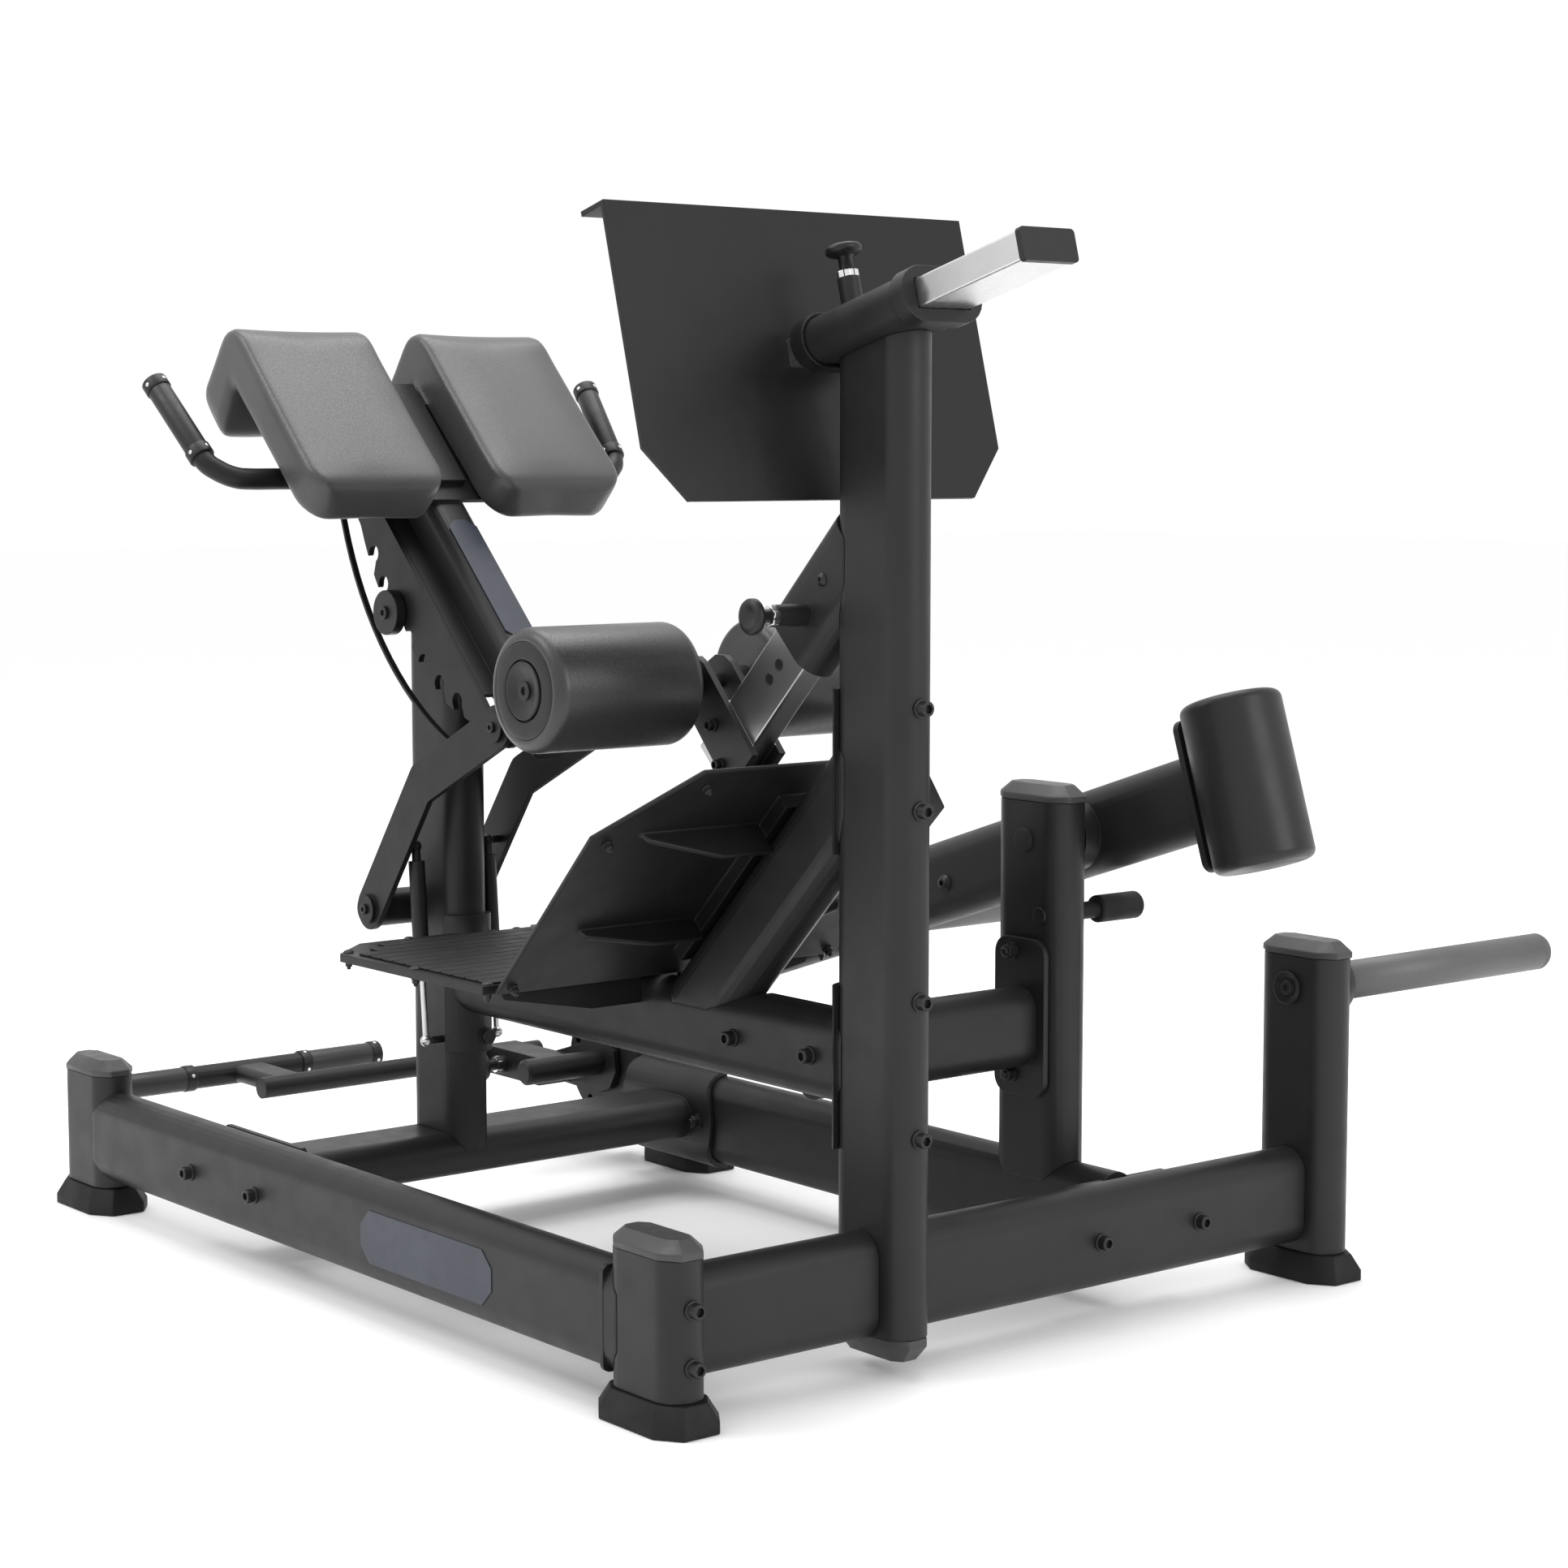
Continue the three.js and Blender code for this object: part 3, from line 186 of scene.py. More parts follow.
class Finish:
    """A material under construction: its nodes, its shader and its object coordinates."""

    def __init__(self, name, color, roughness, metallic=0.0):
        self.material = bpy.data.materials.new(name)
        self.material.use_nodes = True
        self.tree = self.material.node_tree
        self.shader = self.tree.nodes["Principled BSDF"]
        self.shader.inputs["Metallic"].default_value = metallic
        self.shader.inputs["Roughness"].default_value = roughness
        self.shader.inputs["Base Color"].default_value = (*color, 1)
        self.place = self.tree.nodes.new("ShaderNodeTexCoord").outputs["Object"]
        self.normal = None

    def stretched(self, scale):
        """Object coordinates, scaled by a different amount along each axis."""
        mapping = self.tree.nodes.new("ShaderNodeMapping")
        mapping.inputs["Scale"].default_value = scale
        self.tree.links.new(self.place, mapping.inputs["Vector"])
        return mapping.outputs["Vector"]

    def noise(self, scale, detail=4.0, place=None):
        node = self.tree.nodes.new("ShaderNodeTexNoise")
        node.inputs["Scale"].default_value = scale
        node.inputs["Detail"].default_value = detail
        self.tree.links.new(place or self.place, node.inputs["Vector"])
        return node.outputs["Fac"]

    def cells(self, scale):
        node = self.tree.nodes.new("ShaderNodeTexVoronoi")
        node.inputs["Scale"].default_value = scale
        node.feature = "SMOOTH_F1"
        self.tree.links.new(self.place, node.inputs["Vector"])
        return node.outputs["Distance"]

    def remap(self, value, low, high, start=0.3, end=0.7):
        """A value between start and end, carried over to between low and high."""
        node = self.tree.nodes.new("ShaderNodeMapRange")
        node.inputs["From Min"].default_value = start
        node.inputs["From Max"].default_value = end
        node.inputs["To Min"].default_value = low
        node.inputs["To Max"].default_value = high
        self.tree.links.new(value, node.inputs["Value"])
        return node.outputs["Result"]

    def blend(self, factor, dark, light):
        node = self.tree.nodes.new("ShaderNodeMix")
        node.data_type = "RGBA"
        node.inputs["A"].default_value = (*dark, 1)
        node.inputs["B"].default_value = (*light, 1)
        self.tree.links.new(factor, node.inputs["Factor"])
        return node.outputs["Result"]

    def soften_edges(self, radius):
        """Rounds the shading of edges; the radius is in millimetres."""
        node = self.tree.nodes.new("ShaderNodeBevel")
        node.samples = 4
        node.inputs["Radius"].default_value = radius * MM
        self.normal = node.outputs["Normal"]
        self.tree.links.new(self.normal, self.shader.inputs["Normal"])

    def emboss(self, height, depth, strength):
        """Adds relief on top of the relief so far; the depth is in millimetres."""
        node = self.tree.nodes.new("ShaderNodeBump")
        node.inputs["Distance"].default_value = depth * MM
        node.inputs["Strength"].default_value = strength
        self.tree.links.new(height, node.inputs["Height"])
        if self.normal:
            self.tree.links.new(self.normal, node.inputs["Normal"])
        self.normal = node.outputs["Normal"]
        self.tree.links.new(self.normal, self.shader.inputs["Normal"])

    def feed(self, socket, value):
        self.tree.links.new(value, self.shader.inputs[socket])


def shade(color, factor):
    """A colour made lighter or darker."""
    return tuple(min(1.0, channel * factor) for channel in color)


def powder_coat(name, color, roughness):
    """Satin powder coat: orange-peel skin, slight cloudiness and lighter rubbed patches."""
    coat = Finish(name, color, roughness)
    coat.soften_edges(1.5)
    coat.emboss(coat.noise(900.0, 3.0), 0.12, 0.5)
    coat.emboss(coat.noise(140.0, 2.0), 0.08, 0.35)
    cloud = coat.remap(coat.noise(5.0, 6.0), 0.0, 1.0)
    coat.feed("Base Color", coat.blend(cloud, shade(color, 0.88), shade(color, 1.14)))
    coat.feed("Roughness", coat.remap(coat.noise(26.0, 5.0), roughness - 0.05, roughness + 0.06))
    coat.shader.inputs["Specular IOR Level"].default_value = 0.3
    return coat.material


def moulded_plastic(name, color, roughness):
    """Spark-eroded plastic skin."""
    skin = Finish(name, color, roughness)
    skin.soften_edges(1.2)
    skin.emboss(skin.cells(1300.0), 0.1, 0.4)
    cloud = skin.remap(skin.noise(11.0, 4.0), 0.0, 1.0)
    skin.feed("Base Color", skin.blend(cloud, shade(color, 0.85), shade(color, 1.15)))
    skin.feed("Roughness", skin.remap(skin.noise(60.0, 4.0), roughness - 0.06, roughness + 0.07))
    skin.shader.inputs["Specular IOR Level"].default_value = 0.35
    return skin.material


def black_rubber(name, color, roughness):
    """Matt rubber with a dusty bloom."""
    rubber = Finish(name, color, roughness)
    rubber.soften_edges(1.5)
    rubber.emboss(rubber.noise(420.0, 6.0), 0.15, 0.5)
    dust = rubber.remap(rubber.noise(16.0, 7.0), 0.0, 1.0, 0.35, 0.75)
    rubber.feed("Base Color", rubber.blend(dust, color, shade(color, 1.7)))
    rubber.feed("Roughness", rubber.remap(rubber.noise(40.0, 4.0), roughness - 0.08, roughness + 0.08))
    rubber.shader.inputs["Specular IOR Level"].default_value = 0.25
    return rubber.material


def grained_vinyl(name, color, roughness):
    """Upholstery vinyl: fine pebbled grain over a soft, slightly uneven skin."""
    vinyl = Finish(name, color, roughness)
    vinyl.emboss(vinyl.cells(620.0), 0.22, 0.55)
    vinyl.emboss(vinyl.noise(2200.0, 3.0), 0.06, 0.4)
    vinyl.emboss(vinyl.noise(22.0, 3.0), 0.3, 0.2)
    worn = vinyl.remap(vinyl.noise(7.0, 5.0), 0.0, 1.0)
    vinyl.feed("Base Color", vinyl.blend(worn, shade(color, 0.9), shade(color, 1.12)))
    vinyl.feed("Roughness", vinyl.remap(vinyl.cells(620.0), roughness - 0.1, roughness + 0.08, 0.1, 0.6))
    vinyl.shader.inputs["Specular IOR Level"].default_value = 0.5
    vinyl.shader.inputs["Sheen Weight"].default_value = 0.05
    vinyl.shader.inputs["Sheen Roughness"].default_value = 0.5
    return vinyl.material


def brushed_metal(name, color, roughness, stretch, metallic=1.0, stain=0.03):
    """Steel with fine scratches along one way and faint handling marks."""
    steel = Finish(name, color, roughness, metallic)
    steel.soften_edges(0.8)
    lines = steel.noise(1.0, 3.0, steel.stretched(stretch))
    steel.emboss(lines, 0.04, 0.5)
    smudge = steel.remap(steel.noise(30.0, 5.0), 0.0, 1.0)
    steel.feed("Base Color", steel.blend(smudge, shade(color, 1 - stain), shade(color, 1 + stain)))
    steel.feed("Roughness", steel.remap(lines, roughness - 0.04, roughness + 0.05))
    return steel.material


ALONG_BAR = (1500.0, 60.0, 60.0)
ANKLE_BAR = {"half_width": 17.3, "low": 652.8, "high": 723.2}    # X and Z of the bright bar in the SLOPE axes


def two_tone_slide(name, steel_color, paint_color):
    """The ankle slide: a bright bar whose fork, block and axle are painted black."""
    part = Finish(name, steel_color, 0.32, 1.0)
    part.soften_edges(0.8)
    split = part.tree.nodes.new("ShaderNodeSeparateXYZ")
    mapping = part.tree.nodes.new("ShaderNodeMapping")
    mapping.vector_type = "TEXTURE"
    mapping.inputs["Location"].default_value = ORIGIN
    mapping.inputs["Rotation"].default_value = (math.radians(SLOPE_TILT), 0, 0)
    part.tree.links.new(part.place, mapping.inputs["Vector"])
    part.tree.links.new(mapping.outputs["Vector"], split.inputs["Vector"])

    def test(operation, value, limit):
        node = part.tree.nodes.new("ShaderNodeMath")
        node.operation = operation
        part.tree.links.new(value, node.inputs[0])
        if isinstance(limit, float):
            node.inputs[1].default_value = limit
        else:
            part.tree.links.new(limit, node.inputs[1])
        return node.outputs[0]

    wide = test("GREATER_THAN", test("ABSOLUTE", split.outputs["X"], 0.0), ANKLE_BAR["half_width"] * MM)
    low = test("LESS_THAN", split.outputs["Z"], ANKLE_BAR["low"] * MM)
    high = test("GREATER_THAN", split.outputs["Z"], ANKLE_BAR["high"] * MM)
    painted = test("MAXIMUM", test("MAXIMUM", wide, low), high)
    brushed = part.noise(1.0, 3.0, part.stretched(ALONG_BAR))
    part.emboss(brushed, 0.04, 0.4)
    part.feed("Base Color", part.blend(painted, steel_color, paint_color))
    part.feed("Metallic", part.remap(painted, 1.0, 0.0, 0.0, 1.0))
    part.feed("Roughness", part.remap(painted, 0.3, 0.5, 0.0, 1.0))
    return part.material


CHARCOAL = (0.0125, 0.0125, 0.013)
BLACK = (0.008, 0.008, 0.0085)
PLATE_BLACK = (0.0065, 0.0065, 0.007)

FRAME_PAINT = powder_coat("frame_powder_coat", CHARCOAL, 0.42)
PLATE_PAINT = powder_coat("plate_powder_coat", PLATE_BLACK, 0.44)
CAP_PLASTIC = moulded_plastic("cap_moulding", (0.045, 0.045, 0.046), 0.42)
BLACK_PLASTIC = moulded_plastic("black_moulding", BLACK, 0.42)
RUBBER = black_rubber("foot_rubber", (0.006, 0.006, 0.006), 0.6)
MAT_RUBBER = black_rubber("mat_rubber", (0.012, 0.012, 0.0125), 0.55)
GRIP_RUBBER = moulded_plastic("grip_rubber", (0.011, 0.011, 0.0115), 0.42)
PULL_GRIP_RUBBER = moulded_plastic("pull_grip_rubber", (0.03, 0.03, 0.031), 0.42)
WEIGHT_COAT = powder_coat("weight_coat", (0.013, 0.013, 0.0135), 0.38)
VINYL = grained_vinyl("charcoal_vinyl", (0.042, 0.042, 0.043), 0.36)
FOAM_SKIN = grained_vinyl("roller_skin", (0.021, 0.021, 0.0215), 0.34)
SLIDE_STEEL = brushed_metal("brushed_slide", (0.62, 0.62, 0.62), 0.3, ALONG_BAR)
HORN_STEEL = brushed_metal("horn_sleeve", (0.105, 0.105, 0.107), 0.5, (60.0, 900.0, 900.0), 0.45)
BRIGHT_STEEL = brushed_metal("bright_steel", (0.75, 0.75, 0.75), 0.2, (400.0, 400.0, 400.0))
DARK_STEEL = brushed_metal("black_oxide_screw", (0.03, 0.03, 0.032), 0.38, (500.0, 500.0, 500.0), 0.7)
BADGE = moulded_plastic("badge_film", (0.03, 0.033, 0.05), 0.35)
ANKLE_SLIDE = two_tone_slide("ankle_slide_finish", (0.5, 0.5, 0.5), PLATE_BLACK)

BY_SLOT = {
    "frame_paint": FRAME_PAINT,
    "plate_paint": PLATE_PAINT,
    "cap_plastic": CAP_PLASTIC,
    "black_plastic": BLACK_PLASTIC,
    "rubber": RUBBER,
    "counterweight_coat": WEIGHT_COAT,
    "upholstery": VINYL,
    "slide_steel": SLIDE_STEEL,
    "horn_steel": HORN_STEEL,
}
EDGE_WIDTH = {"foot": 2.0, "cap": 1.6, "rail": 1.0, "post": 1.0}    # by the first word of a node's name
THIN_EDGE = 0.9


def dress_frame():
    """Gives every CAD node its slot's finish and rounds its edges a little."""
    for subpart in frame["record"]["subparts"]:
        node = frame["nodes"][subpart["node"]]
        finish = BY_SLOT[subpart["material_slot"]]
        if node.name == "ankle_slide":
            finish = ANKLE_SLIDE
        node.data.materials.clear()
        node.data.materials.append(finish)
        for face in node.data.polygons:
            face.use_smooth = True
        bevelled(node, EDGE_WIDTH.get(node.name.split("_")[0], THIN_EDGE))


def dressed(obj, finish, body, slot_name, *replaced):
    """Finishes a piece: material, body and the CAD nodes that it stands for; the slot name is not used."""
    obj.data.materials.append(finish)
    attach(obj, body)
    if replaced:
        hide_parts(*replaced)
    return obj


# ---- hip pads --------------------------------------------------------------------------------------

PAD_INNER = 38.0      # X of a pad's side next to the middle
PAD_OUTER = 246.0
PAD_CORNER = 48.0     # radius of the corners, seen square to the pad
PAD_EDGE = 13.0
PAD_LOW_END = 319.0   # Y of the front's lower end
FLAP_LOW_END = -55.0  # Z of the rear flap's lower end
FLAP_START = 540.0    # Y beyond which the pad belongs to the flap
SIDEWAYS = Matrix(((0, 0, 1, 0), (1, 0, 0, 0), (0, 1, 0, 0), (0, 0, 0, 1)))    # Z becomes X

SIM_FRAMES = 20


def bend(start, corner, end, steps=6):
    """Points of a smooth bend that leaves the start towards a corner and arrives at the end."""
    points = []
    for i in range(steps):
        t = i / steps
        points.append(tuple(a * (1 - t) ** 2 + 2 * b * t * (1 - t) + c * t ** 2
                            for a, b, c in zip(start, corner, end)))
    return points


def pad_section():
    """Closed side view of a pad in the pad axes' Y and Z, from the front's lower end round to the inside."""
    points = bend((333, 41.8), (PAD_LOW_END, 41.8), (320, 55))
    points += bend((326, 86), (329, 102), (347, 102.5), 8)
    points += bend((590, 103), (647, 104), (644, 58), 12)
    points += bend((628, -26), (621, FLAP_LOW_END), (598, FLAP_LOW_END), 8)
    points += bend((568, -46), (557, -42), (560, -22))
    points.append((582, 40))
    return points


def pad_inset(y, z):
    """How far a pad's side is drawn in near the front's lower end and the rear flap's lower end."""
    end = min(y - PAD_LOW_END, z - FLAP_LOW_END if y > FLAP_START else PAD_CORNER)
    reach = max(0.0, PAD_CORNER - end)
    return PAD_CORNER - math.sqrt(max(0.0, PAD_CORNER ** 2 - min(reach, PAD_CORNER) ** 2))


def pad_shell(name, side):
    """A straight pad with square ends; side is -1 on the left and 1 on the right."""
    bm = bmesh.new()
    prism(bm, pad_section(), side * PAD_INNER, side * PAD_OUTER, PAD @ SIDEWAYS)
    return bevelled(link(name, bm), PAD_EDGE, 4, 50)


def pad_corners(mesh, side):
    """Rounds a straight pad's ends, seen square to its face."""
    middle, half = side * (PAD_INNER + PAD_OUTER) / 2, (PAD_OUTER - PAD_INNER) / 2
    back = PAD.inverted()
    for vert in mesh.vertices:
        x, y, z = (back @ vert.co) / MM
        vert.co = spot(PAD, middle + (x - middle) * (1 - pad_inset(y, z) / half), y, z)


def applied(obj):
    """Bakes an object's modifiers into its mesh."""
    graph = bpy.context.evaluated_depsgraph_get()
    mesh = bpy.data.meshes.new_from_object(obj.evaluated_get(graph))
    obj.modifiers.clear()
    obj.data = mesh
    return obj


def evened(offsets, mesh, rounds=30):
    """Averages offsets of a mesh's vertices over its edges."""
    ends = np.empty(len(mesh.edges) * 2, dtype=np.int32)
    mesh.edges.foreach_get("vertices", ends)
    starts, stops = ends.reshape(-1, 2).T
    degree = 1 + np.bincount(ends, minlength=len(offsets))
    for _ in range(rounds):
        total = offsets.copy()
        np.add.at(total, starts, offsets[stops])
        np.add.at(total, stops, offsets[starts])
        offsets = total / degree[:, None]
    return offsets


def places(mesh):
    """Places of a mesh's vertices, a row each."""
    found = np.empty(len(mesh.vertices) * 3)
    mesh.vertices.foreach_get("co", found)
    return found.reshape(-1, 3)


def filled(obj, shape, voxel=0.005, pressure=4.0, cap=0.003):
    """Turns a shell into a stuffed cushion.

    The shell gets an even skin and is shaped, then inflated for a moment.  No point moves past the cap, and
    the moves are evened out over the skin.
    """
    remesh = obj.modifiers.new("skin", "REMESH")
    remesh.mode = "VOXEL"
    remesh.voxel_size = voxel
    applied(obj)
    shape(obj.data)
    soften = obj.modifiers.new("soften", "SMOOTH")
    soften.factor = 0.5
    soften.iterations = 5
    applied(obj)
    before = places(obj.data)
    cloth = obj.modifiers.new("cloth", "CLOTH")
    cloth.settings.use_pressure = True
    cloth.settings.uniform_pressure_force = pressure
    cloth.settings.effector_weights.gravity = 0
    scene = bpy.context.scene
    for number in range(1, SIM_FRAMES + 1):
        scene.frame_set(number)
    applied(obj)
    scene.frame_set(1)
    moved = places(obj.data) - before
    length = np.linalg.norm(moved, axis=1, keepdims=True)
    moved *= np.minimum(1.0, cap / np.maximum(length, 1e-9))
    obj.data.vertices.foreach_set("co", (before + evened(moved, obj.data)).ravel())
    obj.data.update()
    finer = obj.modifiers.new("finer", "SUBSURF")
    finer.levels = 1
    finer.render_levels = 1
    applied(obj)
    for face in obj.data.polygons:
        face.use_smooth = True
    return obj


def hip_pads():
    for place, side, _ in SIDES:
        pad = filled(pad_shell(f"hip_cushion_{place}", side), lambda mesh: pad_corners(mesh, side))
        dressed(pad, VINYL, "pad_frame", "upholstery", f"hip_pad_{place}")


# ---- ankle rollers ---------------------------------------------------------------------------------

ROLLER = {"y": -319.6, "z": 779.0, "radius": 74.0, "inner": 57.0, "outer": 270.0}
FOAM_GAP = 0.3
FOAM_EDGE = 15.0


def ankle_rollers():
    start, end = ROLLER["inner"], ROLLER["outer"]
    for place, _, way in SIDES:
        axes = facing(SLOPE, 0, ROLLER["y"], ROLLER["z"], way)
        bm = bmesh.new()
        rings = [(start + 6, 24.0), (start + 2, 50.0)]
        rings += rounded(ROLLER["radius"] - 0.4, start + FOAM_GAP, end - FOAM_GAP, FOAM_EDGE, 8)
        rings += [(end - 1.5, 57.5), (end - 4.0, 56.0)]
        turned(bm, rings, axes, 72)
        foam = link(f"roller_foam_{place}", bm)
        body = f"roller_{place}_body"
        dressed(foam, FOAM_SKIN, body, "upholstery", f"roller_{place}")
        bm = bmesh.new()
        turned(bm, [(end - 9, 57.5), (end - 1.4, 57.5), (end - 0.4, 56.5), (end + 0.6, 52),
                    (end + 1, 40), (end + 0.4, 36.8), (end - 3.5, 36.4), (end - 3.5, 34.6),
                    (end + 1.4, 34.2), (end + 2.2, 33), (end + 1.4, 27), (end - 1.6, 20),
                    (end - 2.6, 14), (end - 2.6, 12.5)], axes, 64)
        disc = link(f"roller_end_disc_{place}", bm)
        dressed(disc, BLACK_PLASTIC, body, "black_plastic")
        bevelled(disc, 0.4)


# ---- handles and grips -----------------------------------------------------------------------------

def curve_points(points, steps):
    """A smooth line through given points, as many steps between each pair."""
    ends = [points[0] * 2 - points[1]] + points + [points[-1] * 2 - points[-2]]
    line = []
    for a, b, c, d in zip(ends, ends[1:], ends[2:], ends[3:]):
        for i in range(steps):
            t = i / steps
            line.append(0.5 * ((2 * b) + (c - a) * t + (2 * a - 5 * b + 4 * c - d) * t ** 2
                               + (3 * b - a - 3 * c + d) * t ** 3))
    line.append(points[-1])
    return line


def swept(name, line, radius, sides=28):
    """A round bar along a line of points in the part's frame, with closed ends."""
    bm = bmesh.new()
    normal = Vector((0, 1, 0))
    loops = []
    for i, point in enumerate(line):
        ahead = (line[min(i + 1, len(line) - 1)] - line[max(i - 1, 0)]).normalized()
        normal = (normal - ahead * normal.dot(ahead)).normalized()
        across = ahead.cross(normal)
        loops.append([bm.verts.new(point + (normal * math.cos(a) + across * math.sin(a)) * radius * MM)
                      for a in (2 * math.pi * k / sides for k in range(sides))])
    for lower, upper in zip(loops, loops[1:]):
        for k in range(sides):
            j = (k + 1) % sides
            bm.faces.new((lower[k], lower[j], upper[j], upper[k]))
    bm.faces.new(list(reversed(loops[0])))
    bm.faces.new(loops[-1])
    return link(name, bm)


COLLAR_LENGTH = 16
SET_SCREW_ANGLES = (20, 110, 200, 290)


def grip(name, start, end, radius, body, sleeve):
    """A rubber sleeve with a plastic collar and set screw at each end, between two points."""
    way = end - start
    length = way.length / MM
    turn = Vector((0, 0, 1)).rotation_difference(way).to_matrix().to_4x4()
    axes = Matrix.Translation(start) @ turn
    bm = bmesh.new()
    turned(bm, rounded(radius, COLLAR_LENGTH - 2, length - COLLAR_LENGTH + 2, 1.5, 3), axes, 40)
    dressed(link(f"{name}_sleeve", bm), sleeve, body, "rubber")
    for index, low in enumerate((0, length - COLLAR_LENGTH)):
        bm = bmesh.new()
        turned(bm, rounded(radius + 1.6, low, low + COLLAR_LENGTH, 1.2, 3), axes, 40)
        dressed(link(f"{name}_collar_{index}", bm), BLACK_PLASTIC, body, "black_plastic")
        bm = bmesh.new()
        middle = axes @ Matrix.Translation(Vector((0, 0, (low + COLLAR_LENGTH / 2) * MM)))
        for angle in SET_SCREW_ANGLES:
            outward = middle @ Matrix.Rotation(math.radians(angle), 4, "Z") @ TO_X
            turned(bm, [(radius, 2.6), (radius + 2.1, 2.6), (radius + 2.3, 2.2)], outward, 16)
        dressed(link(f"{name}_set_screw_{index}", bm), BRIGHT_STEEL, body, "slide_steel")


def pad_handles():
    """The handle bar under the pads, bent up at both ends, with a grip on each end."""
    half = [(60, 947, 1017), (150, 947, 1017), (230, 947, 1017), (270, 947, 1017), (292, 949, 1019),
            (312, 958, 1028), (326, 973, 1044), (335, 1020, 1095), (343, 1062, 1138)]
    whole = [(-x, y, z) for x, y, z in reversed(half)] + [(0, 947, 1017)] + half
    line = curve_points([spot(MACHINE, *point) for point in whole], 6)
    bar = swept("pad_handle_bar", line, 13.9)
    dressed(bar, PLATE_PAINT, "pad_frame", "plate_paint", "handle_bar")
    for place, side, _ in SIDES:
        start = spot(MACHINE, side * 326, 973, 1044)
        end = spot(MACHINE, side * 344, 1067, 1143)
        grip(f"pad_grip_{place}", start, end, 15.6, "pad_frame", GRIP_RUBBER)


PULL_BAR = (1471, 127)    # Y and Z of the pull lever's cross bar


def pull_grips():
    for place, side, _ in SIDES:
        start = spot(MACHINE, side * 90, *PULL_BAR)
        end = spot(MACHINE, side * 229, *PULL_BAR)
        grip(f"pull_grip_{place}", start, end, 18.0, "pull_lever", PULL_GRIP_RUBBER)


# ---- fasteners -------------------------------------------------------------------------------------

def socket_screw(bm, axes, size):
    """Cap screw on a washer: size is the thread diameter."""
    head = size * 0.8
    top = size + 2.5
    turned(bm, [(-0.5, size), (1.8, size), (2.4, size * 0.94), (2.4, head), (top - 1.2, head),
                (top, head - 1.2), (top, size * 0.5, "hex"),
                (top - size * 0.5, size * 0.48, "hex")], axes, 24)


def round_screw(bm, axes, size):
    """Low round screw head with a deep hexagon socket."""
    turned(bm, [(-0.5, size), (3.4, size), (4.2, size - 0.8), (4.2, size * 0.5, "hex"),
                (1, size * 0.46, "hex")], axes, 24)


def dished_washer(bm, axes, size):
    """Thick round washer, hollowed towards a raised ring in its middle."""
    turned(bm, [(-0.5, size), (4.5, size), (5.6, size - 1.2), (5.6, size - 2.4), (2.6, size * 0.56),
                (2.6, size * 0.5), (4.6, size * 0.47), (4.6, size * 0.36)], axes, 48)


def hole_rim_painted_shade(bm, axes, size):
    """Rim of an index hole with a flat disc inside it; dressed black, the disc is painted shade standing in for
    the hole's depth.
    """
    turned(bm, [(-1, size + 1), (0.5, size + 1), (0.7, size + 0.6), (0.7, size), (0.2, size - 0.6),
                (0.2, size * 0.5)], axes, 28)


def plain_disc(bm, axes, size):
    """Plain plug with a rounded rim."""
    turned(bm, [(-0.5, size), (2.6, size), (3.6, size - 0.5), (4, size - 1.6), (4, 1)], axes, 32)


def hex_bolt(bm, axes, size):
    """Hexagon bolt head on a washer, with a chamfered top."""
    top = size * 0.7 + 2
    turned(bm, [(-2, size * 1.1), (2, size * 1.1), (2, size, "hex"), (top - 1, size, "hex"),
                (top, size * 0.84), (top, size * 0.3)], axes, 24)


def hex_nut(bm, axes, size):
    """Nut with a thread end standing out of it, on a washer."""
    top = size * 0.9 + 2
    turned(bm, [(-0.5, size * 1.1), (2, size * 1.1), (2, size * 0.92, "hex"), (top, size * 0.92, "hex"),
                (top + 0.8, size * 0.7), (top + 0.8, size * 0.5), (top + 3.5, size * 0.5),
                (top + 4.2, size * 0.4)], axes, 24)


def dome_screw(bm, axes, size):
    """Low button-head screw with a hexagon socket."""
    turned(bm, [(-0.5, size), (0.8, size), (size * 0.35, size * 0.8), (size * 0.5, size * 0.5),
                (size * 0.5, size * 0.35, "hex"), (size * 0.2, size * 0.33, "hex")], axes, 24)


def fasteners(name, make, size, axes, spots, body, finish=None):
    """One object of like fasteners; each spot is x, y, z and the way it faces."""
    bm = bmesh.new()
    for x, y, z, way in spots:
        make(bm, facing(axes, x, y, z, way), size)
    obj = link(name, bm)
    dressed(obj, finish or DARK_STEEL, body, "black_plastic")
    return bevelled(obj, 0.3, 1, 30)


PLATFORM_TOP = 420.0
PLATFORM_BOTTOM = 409.3
SLOPED_PLATE_TOP = 579.8
SLOPED_PLATE_BOTTOM = 573.8


